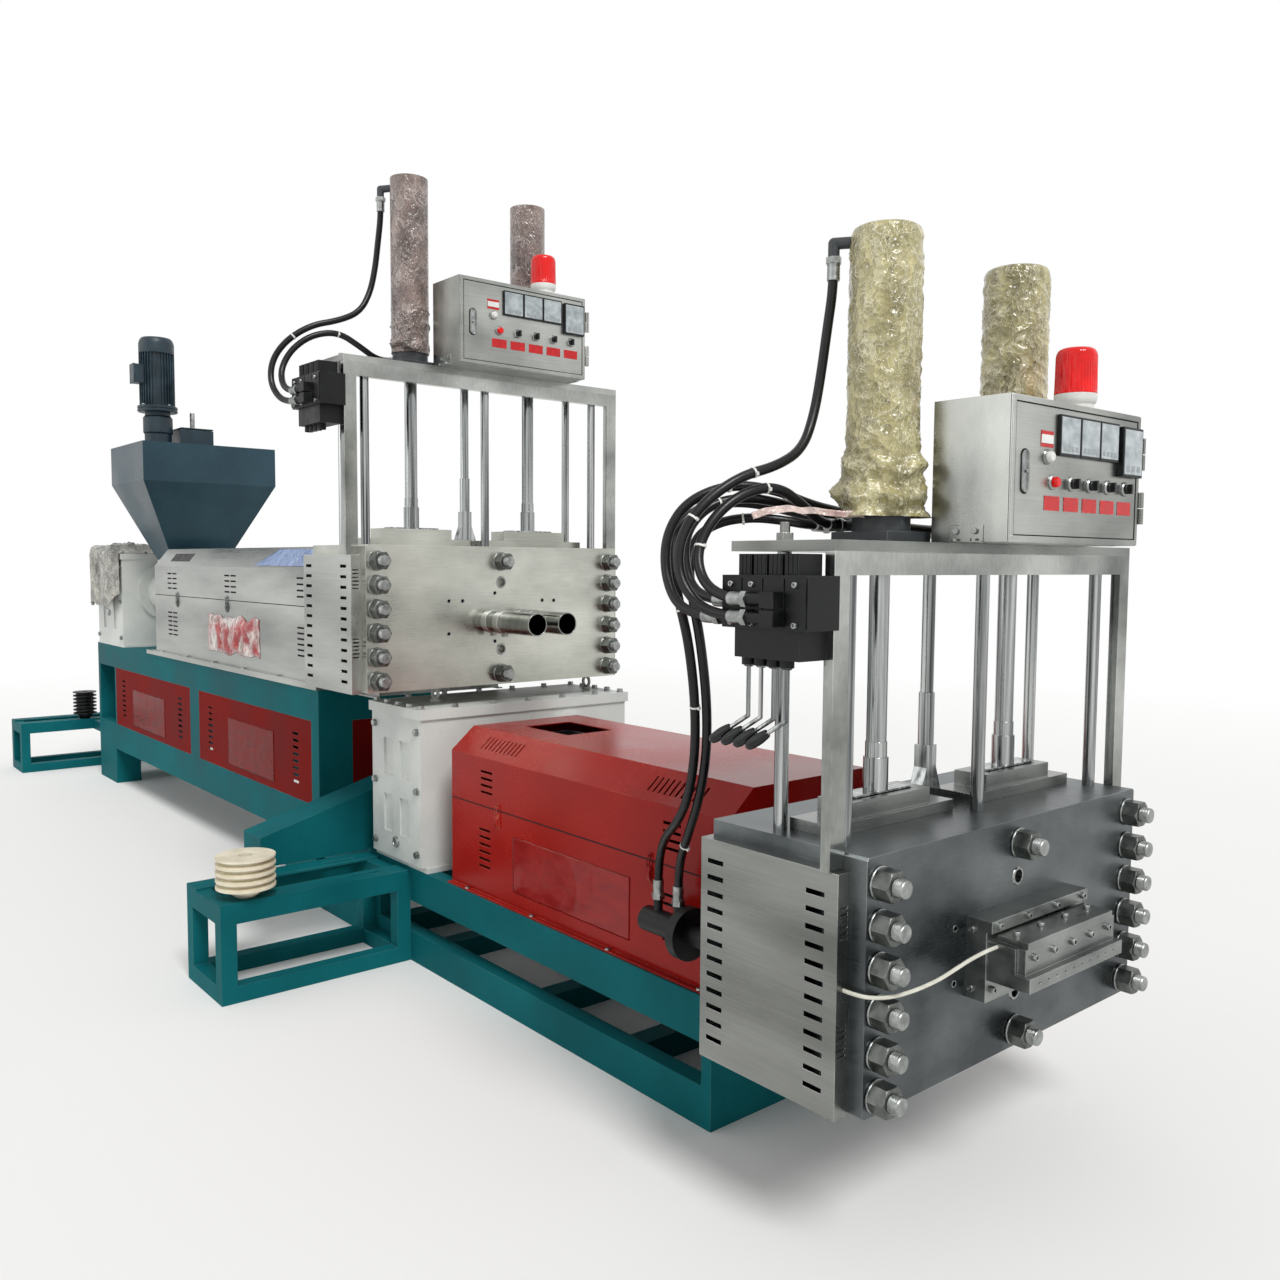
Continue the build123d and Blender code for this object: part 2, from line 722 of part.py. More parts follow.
def make_control_boxes():
    """Sheet boxes open at the front behind the door."""
    with BuildPart() as boxes:
        for stage in STAGES:
            x = control_box_x(stage)
            z = control_box_z(stage)
            y = CONTROL_BOX_Y
            block(x, y, z)
            block(
                (x[0] + CONTROL_SHEET, x[1] - CONTROL_SHEET),
                (y[0] + CONTROL_SHEET, y[1] - CONTROL_SHEET),
                (z[0] + CONTROL_SHEET, z[1] - CONTROL_SHEET),
                mode=Mode.SUBTRACT,
            )
            rim = 2 * DOOR_MARGIN
            block(
                (x[1] - 2 * CONTROL_SHEET, x[1]),
                (y[0] + rim, y[1] - rim),
                (z[0] + rim, z[1] - rim),
                mode=Mode.SUBTRACT,
            )
            hinge = hinge_point(stage)
            for level in (z[0] + 2 * rim, z[1] - 2 * rim - HINGE_LENGTH):
                bar(DOOR_HINGE_RADIUS, (hinge[0], hinge[1], level), (hinge[0], hinge[1], level + HINGE_LENGTH))
                block(
                    (x[1] - HINGE_LEAF, hinge[0]),
                    (y[1], hinge[1] + DOOR_HINGE_RADIUS),
                    (level, level + HINGE_LENGTH),
                )
    save(boxes, "control_boxes")


def hinge_point(stage):
    """Axis of the control door's hinge, beside the box's far front corner."""
    return (stage.face_x + stage.door_offset + DOOR_HINGE_RADIUS, CONTROL_BOX_Y[1] + 2 * DOOR_HINGE_RADIUS)


def make_control_door(stage):
    """Sheet door with the meters, switches and knobs that it carries."""
    x = control_box_x(stage)[1]
    z = control_box_z(stage)
    y = CONTROL_BOX_Y
    face = x + DOOR_SHEET
    hinge = hinge_point(stage)
    with BuildPart() as door:
        block((x + LID_GAP, face), (y[0] + 1, y[1] - 1), (z[0] + 1, z[1] - 1))
        meter_z = z[1] - 94
        for number in range(3):
            meter_y = y[0] + 267 + number * (METER_FACE + 2)
            block(
                (face, face + METER_DEPTH),
                (meter_y - METER_FACE / 2, meter_y + METER_FACE / 2),
                (meter_z - METER_FACE / 2 - 6, meter_z + METER_FACE / 2 + 6),
            )
            block(
                (face - METER_BACK, face),
                (meter_y - METER_FACE / 2 + 4, meter_y + METER_FACE / 2 - 4),
                (meter_z - METER_FACE / 2, meter_z + METER_FACE / 2),
            )
        big_y = y[0] + 510
        big_z = meter_z - 22
        block(
            (face, face + 2 * METER_DEPTH),
            (big_y - BIG_METER_FACE / 2, big_y + BIG_METER_FACE / 2),
            (big_z - BIG_METER_FACE / 2 - 4, big_z + BIG_METER_FACE / 2 + 4),
        )
        knobs = [(y[0] + 145 + number * 80, z[0] + 142) for number in range(5)]
        knobs += [(y[0] + 145, z[0] + 224)]
        for knob_y, knob_z in knobs:
            bar(KNOB_RADIUS, (face, knob_y, knob_z), (face + KNOB_DEPTH, knob_y, knob_z))
        for level in (z[0] + 4 * DOOR_MARGIN + HINGE_LENGTH + HINGE_END_GAP, z[1] - 4 * DOOR_MARGIN - 2 * HINGE_LENGTH - HINGE_END_GAP):
            bar(DOOR_HINGE_RADIUS, (hinge[0], hinge[1], level), (hinge[0], hinge[1], level + HINGE_LENGTH))
            block(
                (face - HINGE_LEAF, hinge[0]),
                (y[1] - 2, hinge[1]),
                (level, level + HINGE_LENGTH),
            )
    save(door, f"{stage.name}_control_door")


def make_beacons():
    """Round warning lamps on the control boxes."""
    with BuildPart() as beacons:
        for stage in STAGES:
            x = sum(control_box_x(stage)) / 2
            low = control_box_z(stage)[1]
            bar(BEACON_RADIUS - 6, (x, BEACON_Y, low), (x, BEACON_Y, low + BEACON_BASE))
            bar(BEACON_RADIUS, (x, BEACON_Y, low + BEACON_BASE), (x, BEACON_Y, low + BEACON_BASE + BEACON_HEIGHT))
        fillet(beacons.edges().filter_by(GeomType.CIRCLE).group_by(Axis.Z)[-1], 8)
    save(beacons, "beacons")


def lever_points(stage, number):
    """Pivot, bend and grip ends of one valve lever."""
    x = stage.face_x - LEVER_FIRST_BACK + number * LEVER_PITCH
    y = -BLOCK_HALF_WIDTH - PORTAL_TUBE - VALVE_DEPTH / 2
    top = portal_top(stage) - VALVE_DROP[0] - LEVER_SOCKET
    pivot = Vector(x, y, top)
    bend = pivot + Vector(0, 0, -LEVER_DROP)
    grip = bend + Vector(-LEVER_KICK, -LEVER_KICK_OUT, -LEVER_KICK_DROP)
    end = grip + (grip - bend).normalized() * GRIP_LENGTH
    return pivot, bend, grip, end


def lever_shape(stage, number):
    """One lever: round head on its pin, bent rod and rubber grip, in the piece that is being made."""
    pivot, bend, grip, end = lever_points(stage, number)
    half = Vector(LEVER_HEAD / 2, 0, 0)
    bar(LEVER_HEAD_RADIUS, tuple(pivot - half), tuple(pivot + half))
    bar(LEVER_ROD_RADIUS, tuple(pivot), tuple(bend))
    with Locations(bend):
        Sphere(LEVER_ROD_RADIUS)
    bar(LEVER_ROD_RADIUS, tuple(bend), tuple(grip))
    bar(GRIP_RADIUS, tuple(grip), tuple(end))


def make_valve_blocks():
    """Valve bodies with their caps, ports and lever sockets. The first stage's levers are fixed."""
    with BuildPart() as valves:
        for stage in STAGES:
            top = portal_top(stage)
            near = -BLOCK_HALF_WIDTH - PORTAL_TUBE
            y = (near - VALVE_DEPTH, near)
            block(
                (stage.face_x - VALVE_BACK[0], stage.face_x - VALVE_BACK[1]),
                y,
                (top - VALVE_LOW_DROP, top - VALVE_DROP[1]),
            )
            block(
                (stage.face_x - VALVE_LOW_BACK[0], stage.face_x - VALVE_LOW_BACK[1]),
                (y[0] + VALVE_DEPTH / 8, y[1]),
                (top - VALVE_DROP[0], top - VALVE_LOW_DROP),
            )
            middle = stage.face_x - sum(VALVE_BACK) / 2
            caps = [
                (middle + (number - (VALVE_CAPS - 1) / 2) * VALVE_CAP_PITCH, sum(y) / 2, top - VALVE_DROP[1])
                for number in range(VALVE_CAPS)
            ]
            with Locations(*caps):
                Box(
                    VALVE_CAP_WIDTH,
                    VALVE_DEPTH * 3 / 4,
                    VALVE_CAP_HEIGHT,
                    align=(Align.CENTER, Align.CENTER, Align.MIN),
                )
            for drop in VALVE_PORT_DROPS:
                block(
                    (stage.face_x - VALVE_PORT_BACK[0], stage.face_x - VALVE_PORT_BACK[1]),
                    (y[0] - VALVE_PORT_SIZE, y[0]),
                    (top - drop - VALVE_PORT_SIZE / 2, top - drop + VALVE_PORT_SIZE / 2),
                )
                start = (stage.face_x - VALVE_PORT_BACK[0], y[0] - VALVE_PORT_SIZE / 2, top - drop)
                bar(FITTING_RADIUS, start, (start[0] - FITTING_LENGTH, start[1], start[2]))
            for in_from_near, drop in VALVE_REAR_PORTS:
                start = (stage.face_x - VALVE_BACK[0], y[0] + in_from_near, top - drop)
                bar(FITTING_RADIUS, start, (start[0] - REAR_FITTING_LENGTH, start[1], start[2]))
            for number in range(VALVE_CAPS):
                pivot = lever_points(stage, number)[0]
                bar(
                    LEVER_SOCKET_RADIUS,
                    (pivot.X, pivot.Y, pivot.Z - LEVER_HEAD_RADIUS / 2),
                    (pivot.X, pivot.Y, top - VALVE_DROP[0]),
                )
                half = LEVER_HEAD / 2 + LEVER_SOCKET_GAP
                pocket = LEVER_HEAD_RADIUS + LEVER_SOCKET_GAP
                bar(
                    pocket,
                    (pivot.X - half, pivot.Y, pivot.Z),
                    (pivot.X + half, pivot.Y, pivot.Z),
                    mode=Mode.SUBTRACT,
                )
                block(
                    (pivot.X - half, pivot.X + half),
                    (pivot.Y - pocket, pivot.Y + pocket),
                    (pivot.Z - LEVER_HEAD_RADIUS, pivot.Z),
                    mode=Mode.SUBTRACT,
                )
    save(valves, "valve_blocks")


def make_valve_lever(number):
    with BuildPart() as lever:
        lever_shape(SECOND, number)
    save(lever, f"valve_lever_{number + 1}")


def make_base_frame_2():
    """Two side frames of rails, closed by a plate in front, run back to the first stage's frame."""
    with BuildPart() as frame:
        length = (FRAME1_X[1], 0)
        for side in (-1, 1):
            wall = (side * (FRAME2_HALF - FRAME2_RAIL), side * FRAME2_HALF)
            block(length, wall, (FRAME2_TOP - FRAME2_UPPER_RAIL, FRAME2_TOP))
            block(length, wall, (0, FRAME2_LOWER_RAIL))
            for post in (FRAME2_POST_X, FRAME1_X[1]):
                block((post, post + FRAME2_POST), wall, (0, FRAME2_TOP))
        across = (-FRAME2_HALF, FRAME2_HALF)
        block((-FRAME2_FRONT_PLATE, 0), across, (0, FRAME2_TOP))
        beams = list(FRAME2_CROSS_X) + [FRAME2_POST_X, FRAME1_X[1], GEARBOX2_X[1] - FRAME2_CROSS]
        for x in beams:
            block((x, x + FRAME2_CROSS), across, (FRAME2_TOP - FRAME2_CROSS, FRAME2_TOP))
            block((x, x + FRAME2_CROSS), across, (0, FRAME2_CROSS))
    save(frame, "second_base_frame")


def table_shape(x, y, top, slot_pitch):
    """A welded table: legs, foot rails and two slotted angle rails along its length."""
    for side_x in (x[0], x[1] - TABLE_LEG):
        for side_y in (y[0], y[1] - TABLE_LEG):
            block((side_x, side_x + TABLE_LEG), (side_y, side_y + TABLE_LEG), (0, top - TABLE_SHEET))
        block((side_x, side_x + TABLE_LEG), y, (0, TABLE_FOOT_RAIL))
    for side_y in (y[0], y[1] - TABLE_LEG):
        block(x, (side_y, side_y + TABLE_LEG), (0, TABLE_FOOT_RAIL))
        block(x, (side_y, side_y + TABLE_LEG), (top - TABLE_ANGLE_DROP, top - TABLE_SHEET))
    middle = (y[0] + y[1]) / 2
    for edge, inward in ((x[0], 1), (x[1], -1)):
        block((edge, edge + inward * TABLE_ANGLE), y, (top - TABLE_SHEET, top))
        block((edge, edge + inward * TABLE_SHEET), y, (top - TABLE_ANGLE_DROP, top))
        for shift in (-slot_pitch / 2, slot_pitch / 2):
            across = edge + inward * TABLE_ANGLE * TABLE_SLOT_SHARE
            reach = (TABLE_SLOT[0] - TABLE_SLOT[1]) / 2
            with Locations((across, middle + shift, top - TABLE_SHEET / 2)):
                Box(TABLE_SLOT[1], 2 * reach, TABLE_SHEET, mode=Mode.SUBTRACT)
            for end in (-reach, reach):
                with Locations((across, middle + shift + end, top - TABLE_SHEET / 2)):
                    Cylinder(TABLE_SLOT[1] / 2, TABLE_SHEET, mode=Mode.SUBTRACT)


def make_motor_tables():
    with BuildPart() as table:
        table_shape(TABLE2_X, TABLE2_Y, TABLE2_TOP, TABLE_SLOT_PITCH)
    save(table, "second_motor_table")
    with BuildPart() as rear_table:
        table_shape(TABLE1_X, TABLE1_Y, TABLE1_TOP, TABLE_SLOT_PITCH)
        for side in (-1, 1):
            inner = side * TABLE1_LINK_Y
            block(
                (TABLE1_X[1], FRAME1_X[0]),
                (inner, inner + side * TABLE1_LINK),
                (TABLE1_TOP - TABLE_ANGLE_DROP, TABLE1_TOP - TABLE_SHEET),
            )
    save(rear_table, "first_motor_table")


def make_belt_guard():
    """Sloping sheet box over the belts behind the second gearbox."""
    far_top = GUARD_NEAR_TOP + GUARD_SLOPE * (GUARD_FAR_Y - GUARD_NEAR_Y)
    with BuildPart() as guard:
        with BuildSketch(Plane.YZ.offset(GUARD_X[0])):
            with BuildLine():
                Polyline(
                    (GUARD_NEAR_Y, TABLE2_TOP),
                    (-FRAME2_HALF, TABLE2_TOP),
                    (-FRAME2_HALF, FRAME2_TOP),
                    (GUARD_FAR_Y, FRAME2_TOP),
                    (GUARD_FAR_Y, far_top),
                    (GUARD_NEAR_Y, GUARD_NEAR_TOP),
                    close=True,
                )
            make_face()
        extrude(amount=GUARD_X[1] - GUARD_X[0])
        with BuildSketch(Plane.YZ.offset(GUARD_X[0] + GUARD_SHELL)):
            with BuildLine():
                Polyline(
                    (GUARD_NEAR_Y + GUARD_SHELL, TABLE2_TOP),
                    (-FRAME2_HALF + GUARD_SHELL, TABLE2_TOP),
                    (-FRAME2_HALF + GUARD_SHELL, FRAME2_TOP),
                    (GUARD_FAR_Y - GUARD_SHELL, FRAME2_TOP),
                    (GUARD_FAR_Y - GUARD_SHELL, far_top - GUARD_SHELL * (1 + GUARD_SLOPE)),
                    (GUARD_NEAR_Y + GUARD_SHELL, GUARD_NEAR_TOP - GUARD_SHELL),
                    close=True,
                )
            make_face()
        extrude(amount=GUARD_X[1] - GUARD_X[0] - 2 * GUARD_SHELL, mode=Mode.SUBTRACT)
    save(guard, "second_belt_guard")


def eye_bolt(x, y, z):
    """Lifting eye on a collar."""
    bar(EYE_COLLAR_RADIUS, (x, y, z), (x, y, z + EYE_COLLAR))
    with Locations(Location((x, y, z + EYE_COLLAR + EYE_RING_RADIUS), (90, 0, 0))):
        Torus(EYE_RING_RADIUS, EYE_RING_SECTION)


def make_gearbox_2():
    x, y, z = GEARBOX2_X, GEARBOX2_Y, GEARBOX2_Z
    with BuildPart() as gearbox:
        block(x, y, (z[0], z[1] - GEARBOX_LID))
        block(
            (x[0] - GEARBOX_LID_EDGE, x[1] + GEARBOX_LID_EDGE),
            (y[0] - GEARBOX_LID_EDGE, y[1] + GEARBOX_LID_EDGE),
            (z[1] - GEARBOX_LID, z[1]),
        )
        centre_z = (z[0] + z[1] - GEARBOX_LID) / 2
        with Locations((sum(x) / 2, y[0], centre_z)):
            with GridLocations(POCKET2_PITCH[0], 0, 2, 1):
                for shift in (-POCKET2_PITCH[1] / 2, POCKET2_PITCH[1] / 2):
                    with Locations((0, 0, shift)):
                        Box(POCKET2_SIZE[0], 2 * POCKET_DEPTH, POCKET2_SIZE[1], mode=Mode.SUBTRACT)
        foot = (max(y[0], -FRAME2_HALF), FRAME2_HALF)
        block((x[0] - GEARBOX_LID_EDGE, x[1] + GEARBOX_LID_EDGE), foot, (FRAME2_TOP, z[0]))
        for eye_y in (y[0] + 180, y[1] - 60):
            eye_bolt(sum(x) / 2, eye_y, z[1])
        bar(SHAFT_RADIUS, (GUARD_X[1], SHAFT2_Y, COVER2.axis_z), (x[0], SHAFT2_Y, COVER2.axis_z))
    save(gearbox, "second_gearbox")


def barrel_shape(rear, neck_end, front, axis, flange):
    """Barrel with the round housing at the gearbox and the flange at the block."""
    bar(HOUSING_RADIUS, (rear, 0, axis), (rear + HOUSING_RIM, 0, axis))
    bar(HOUSING_NECK, (rear, 0, axis), (neck_end, 0, axis))
    bar(BARREL_RADIUS, (rear, 0, axis), (front, 0, axis))
    bar(BARREL_FLANGE_RADIUS, (front - flange, 0, axis), (front, 0, axis))


def make_barrels():
    with BuildPart() as barrel:
        block_rear = SECOND.face_x - FRONT_PLATE - BLOCK_DEPTH
        neck_end = COVER2.rear - HOUSING_RIM
        barrel_shape(GEARBOX2_X[1], neck_end, block_rear, axis_z(SECOND), BARREL2_FLANGE)
        throat_x = (FEED_OPENING_X[0] + THROAT_MARGIN, FEED_OPENING_X[1] - THROAT_MARGIN)
        throat_y = (FEED_OPENING_Y[0] + THROAT_MARGIN, FEED_OPENING_Y[1] - THROAT_MARGIN)
        block(throat_x, throat_y, (axis_z(SECOND), THROAT_TOP))
        block(
            (throat_x[0] + THROAT_WALL, throat_x[1] - THROAT_WALL),
            (throat_y[0] + THROAT_WALL, throat_y[1] - THROAT_WALL),
            (axis_z(SECOND) + BARREL_RADIUS / 2, THROAT_TOP),
            mode=Mode.SUBTRACT,
        )
    save(barrel, "second_barrel")
    with BuildPart() as rear_barrel:
        block_rear = FIRST.face_x - FRONT_PLATE - BLOCK_DEPTH
        neck_end = HOPPER_NECK_X[0] - NECK_FLANGE
        barrel_shape(GEARBOX1_X[1], neck_end, block_rear, axis_z(FIRST), BARREL1_FLANGE)
        neck_low = axis_z(FIRST)
        block(HOPPER_NECK_X, HOPPER_NECK_Y, (neck_low, HOPPER_NECK_Z))
        block(
            (HOPPER_NECK_X[0] + THROAT_WALL, HOPPER_NECK_X[1] - THROAT_WALL),
            (HOPPER_NECK_Y[0] + THROAT_WALL, HOPPER_NECK_Y[1] - THROAT_WALL),
            (neck_low + BARREL_RADIUS / 2, HOPPER_NECK_Z),
            mode=Mode.SUBTRACT,
        )
    save(rear_barrel, "first_barrel")


def slot_row(centre, size, pitch, count):
    """A row of slots cut through a sheet, evenly spaced along a direction."""
    step = Vector(*pitch)
    first = Vector(*centre) - step * ((count - 1) / 2)
    places = [first + step * number for number in range(count)]
    with Locations(*places):
        Box(*size, mode=Mode.SUBTRACT)


def hinge_places(cover):
    span = cover.front - cover.rear - 2 * HINGE_MARGIN
    return [cover.rear + HINGE_MARGIN + span * number / 2 for number in range(3)]


def knuckle(cover, x, up):
    """Hinge knuckle and leaf at the cover's far side, above or below the split."""
    y = cover.half + HINGE_RADIUS
    bar(HINGE_RADIUS, (x, y, cover.split), (x + HINGE_LENGTH, y, cover.split))
    block((x, x + HINGE_LENGTH), (cover.half, cover.half + HINGE_LEAF), (cover.split, cover.split + up * HINGE_LEAF_HEIGHT))


def side_slots(cover, x, z, width, count, pitch):
    """The same group of slots in the near and the far side."""
    for side in (-1, 1):
        slot_row((x, side * cover.half, z), (width, 4 * COVER_SHEET, 9), (0, 0, pitch), count)


def make_cover_base(cover, barrel_flange):
    """Lower half of a cover: two sides, two ends and a foot flange, open at top and bottom."""
    high = cover.split - LID_GAP
    inner = cover.half - COVER_SHEET
    with BuildPart() as base:
        block((cover.rear, cover.front), (-cover.half, cover.half), (cover.base, high))
        block(
            (cover.rear + COVER_SHEET, cover.front - COVER_SHEET),
            (-inner, inner),
            (cover.base, high),
            mode=Mode.SUBTRACT,
        )
        for side in (-1, 1):
            block(
                (cover.rear, cover.front),
                (side * inner, side * (cover.half + FLANGE_WIDTH)),
                (cover.base - FLANGE_HEIGHT, cover.base),
            )
        bar(
            BARREL_RADIUS + BARREL_HOLE_GAP,
            (cover.rear, 0, cover.axis_z),
            (cover.front, 0, cover.axis_z),
            mode=Mode.SUBTRACT,
        )
        for x in hinge_places(cover):
            knuckle(cover, x - HINGE_LENGTH, -1)
        for x in barrel_flange:
            side_slots(cover, x, cover.split - (cover.split - cover.base) * 0.48, 78, 6, 27)
    save(base, f"{cover.name}_cover_base")


def lid_outline(cover, inset):
    """Closed outline of the lid in the cross plane, moved inwards by a distance."""
    half = cover.half - inset
    flat = cover.flat_half - inset * math.tan(math.radians(20))
    low = cover.split if inset == 0 else cover.split - 1
    shoulder = cover.shoulder - inset * math.tan(math.radians(20))
    top = cover.top - inset
    Polyline(
        (-half, low), (-half, shoulder), (-flat, top), (flat, top), (half, shoulder), (half, low), close=True
    )


def make_cover_lid(cover, groups, chamfer_groups, opening):
    """Upper half of a cover: sides, slanted shoulders, flat top and two ends."""
    with BuildPart() as lid:
        with BuildSketch(Plane.YZ.offset(cover.rear)):
            with BuildLine():
                lid_outline(cover, 0)
            make_face()
        extrude(amount=cover.front - cover.rear)
        with BuildSketch(Plane.YZ.offset(cover.rear + COVER_SHEET)):
            with BuildLine():
                lid_outline(cover, COVER_SHEET)
            make_face()
        extrude(amount=cover.front - cover.rear - 2 * COVER_SHEET, mode=Mode.SUBTRACT)
        bar(
            BARREL_RADIUS + BARREL_HOLE_GAP,
            (cover.rear, 0, cover.axis_z),
            (cover.front, 0, cover.axis_z),
            mode=Mode.SUBTRACT,
        )
        if opening:
            block(*opening, (cover.top - 2 * COVER_SHEET, cover.top + 1), mode=Mode.SUBTRACT)
        for x, count, pitch in groups:
            side_slots(cover, x, (cover.split + cover.shoulder) / 2, 78, count, pitch)
        slope = Vector(0, cover.half - cover.flat_half, cover.shoulder - cover.top).normalized()
        for x, count, pitch in chamfer_groups:
            for side in (-1, 1):
                middle_y = side * (cover.half + cover.flat_half) / 2
                middle_z = (cover.shoulder + cover.top) / 2
                tilt = math.degrees(math.atan2(slope.Z, side * slope.Y))
                with Locations(Location((x, middle_y, middle_z), (tilt, 0, 0))):
                    with GridLocations(pitch, 0, count, 1):
                        Box(9, 58, 6 * COVER_SHEET, mode=Mode.SUBTRACT)
        for x in hinge_places(cover):
            knuckle(cover, x + HINGE_END_GAP, 1)
    save(lid, f"{cover.name}_cover_lid")


def make_covers():
    make_cover_base(COVER2, (-1230, -205))
    make_cover_lid(
        COVER2,
        ((-1217, 4, 25), (-205, 4, 25)),
        ((-1185, 10, 25), (-235, 10, 25)),
        (FEED_OPENING_X, FEED_OPENING_Y),
    )
    make_cover_base(COVER1, (-4950, -3950))
    make_cover_lid(COVER1, ((-4950, 4, 30), (-3950, 4, 30), (-2350, 4, 30)), (), None)


def make_cover_latches():
    """Toggle latches at the near side of both covers."""
    with BuildPart() as latches:
        for cover, places in ((COVER1, LATCHES1_X), (COVER2, LATCHES2_X)):
            for x in places:
                high = cover.split + LATCH_ABOVE_SPLIT
                block(
                    (x - LATCH_SIZE[0] / 2, x + LATCH_SIZE[0] / 2),
                    (-cover.half - LATCH_SIZE[1], -cover.half),
                    (high - LATCH_SIZE[2], cover.split - LID_GAP),
                )
                block(
                    (x - LATCH_SIZE[0] / 3, x + LATCH_SIZE[0] / 3),
                    (-cover.half - LATCH_SIZE[1], -cover.half - 1),
                    (cover.split - LID_GAP, high),
                )
    save(latches, "cover_latches")


def make_strand_die():
    face = SECOND.face_x
    front = face + ADAPTER_DEPTH
    with BuildPart() as adapter:
        block((face, front), (-ADAPTER_HALF, ADAPTER_HALF), ADAPTER_Z)
        block(
            (front, front + DIE_COVER[1]),
            (-ADAPTER_HALF, ADAPTER_HALF),
            (ADAPTER_Z[1] - DIE_COVER[0], ADAPTER_Z[1]),
        )
    save(adapter, "strand_die_adapter")
    with BuildPart() as head:
        block((front, DIE_HEAD_FRONT), (-DIE_HEAD_HALF, DIE_HEAD_HALF), DIE_HEAD_Z)
        for side in (-1, 1):
            block(
                (DIE_HEAD_FRONT - DIE_CHEEK, DIE_HEAD_FRONT),
                (side * (DIE_HEAD_HALF - DIE_CHEEK / 2), side * DIE_HEAD_HALF),
                (DIE_HEAD_Z[0] + DIE_LIP[1], DIE_HEAD_Z[1]),
                mode=Mode.SUBTRACT,
            )
        block(
            (front + DIE_COVER[1], DIE_HEAD_FRONT),
            (-DIE_HEAD_HALF + DIE_CHEEK, DIE_HEAD_HALF - DIE_CHEEK),
            (DIE_HEAD_Z[1], DIE_HEAD_Z[1] + DIE_COVER[1]),
        )
        block(
            (DIE_HEAD_FRONT, DIE_HEAD_FRONT + DIE_LIP[0]),
            (-DIE_HEAD_HALF, DIE_HEAD_HALF),
            (DIE_HEAD_Z[0], DIE_HEAD_Z[0] + DIE_LIP[1]),
        )
        places = [
            ((number - (DIE_HOLES - 1) / 2) * DIE_HOLE_PITCH, DIE_HEAD_Z[0] + DIE_LIP[1] / 2)
            for number in range(DIE_HOLES)
        ]
        for y, z in places:
            bar(
                DIE_HOLE_RADIUS / 2,
                (front, y, z),
                (DIE_HEAD_FRONT + DIE_LIP[0], y, z),
                mode=Mode.SUBTRACT,
            )
    save(head, "strand_die_head")


def make_hydraulic_motor():
    y, z = MOTOR_AXIS
    block_rear = SECOND.face_x - FRONT_PLATE - BLOCK_DEPTH
    with BuildPart() as motor:
        bar(MOTOR_BODY_RADIUS, (MOTOR_BODY_X[0], y, z), (MOTOR_BODY_X[1], y, z))
        bar(MOTOR_FLANGE_RADIUS, (MOTOR_BODY_X[1], y, z), (MOTOR_BODY_X[1] + MOTOR_FLANGE, y, z))
        bar(MOTOR_SNOUT_RADIUS, (MOTOR_BODY_X[1], y, z), (block_rear, y, z))
        for x in MOTOR_PORTS_X:
            bar(MOTOR_PORT_RADIUS, (x, y, z), (x, y, MOTOR_PORT_TOP))
    save(motor, "screen_hydraulic_motor")


def make_pulley(name, centre, low, radius, grooves):
    """V-belt pulley standing on end: rims between grooves over a hub."""
    level = low + PULLEY2_HUB_HEIGHT
    high = level + grooves * PULLEY_PITCH
    points = [(PULLEY_BORE, low), (PULLEY_HUB_RADIUS, low), (radius - PULLEY_ROOT, level), (radius, level)]
    for number in range(grooves):
        base = level + number * PULLEY_PITCH
        points += [
            (radius, base + PULLEY_PITCH * PULLEY_LAND),
            (radius - PULLEY_ROOT, base + PULLEY_PITCH * (1 - PULLEY_LAND) - PULLEY_FLOOR / 2),
            (radius - PULLEY_ROOT, base + PULLEY_PITCH * (1 - PULLEY_LAND) + PULLEY_FLOOR / 2),
            (radius, base + PULLEY_PITCH),
        ]
    points += [(radius, high + PULLEY_PITCH * PULLEY_LAND), (PULLEY_BORE, high + PULLEY_PITCH * PULLEY_LAND)]
    with BuildPart() as pulley:
        with BuildSketch(Plane(origin=(centre[0], centre[1], 0), x_dir=(1, 0, 0), z_dir=(0, -1, 0))):
            with BuildLine():
                Polyline(*points, close=True)
            make_face()
        revolve(axis=Axis((centre[0], centre[1], 0), (0, 0, 1)))
    save(pulley, name)


def make_pulleys():
    make_pulley("second_motor_pulley", PULLEY2_CENTRE, TABLE2_TOP, PULLEY2_RADIUS, PULLEY_GROOVES)
    make_pulley("first_motor_pulley", PULLEY1_CENTRE, TABLE1_TOP, PULLEY1_RADIUS, PULLEY1_GROOVES)


def bay_heights():
    return (FRAME1_BOTTOM + FRAME1_LOW_BEAM, FRAME1_TOP - FRAME1_TOP_BEAM)


def make_base_frame_1():
    """Deep box frame on four legs, its bays open for the panels."""
    low, high = bay_heights()
    with BuildPart() as frame:
        block(FRAME1_X, (-FRAME1_HALF, FRAME1_HALF), (FRAME1_BOTTOM, FRAME1_TOP))
        block(
            (FRAME1_X[0] + FRAME1_WALL, FRAME1_X[1] - FRAME1_WALL),
            (-FRAME1_HALF + FRAME1_WALL, FRAME1_HALF - FRAME1_WALL),
            (FRAME1_BOTTOM, FRAME1_TOP - FRAME1_DECK),
            mode=Mode.SUBTRACT,
        )
        for bay in FRAME1_BAYS:
            block(bay, (-FRAME1_HALF, FRAME1_HALF), (low, high), mode=Mode.SUBTRACT)
        end = FRAME1_HALF - FRAME1_END_POST
        block(FRAME1_X, (-end, end), (low, high), mode=Mode.SUBTRACT)
        for x in (FRAME1_X[0], FRAME1_X[1] - FRAME1_LEG[0]):
            for side in (-1, 1):
                block(
                    (x, x + FRAME1_LEG[0]),
                    (side * (FRAME1_HALF - FRAME1_LEG[1]), side * FRAME1_HALF),
                    (0, FRAME1_BOTTOM + FRAME1_LOW_BEAM / 2),
                )
    save(frame, "first_base_frame")


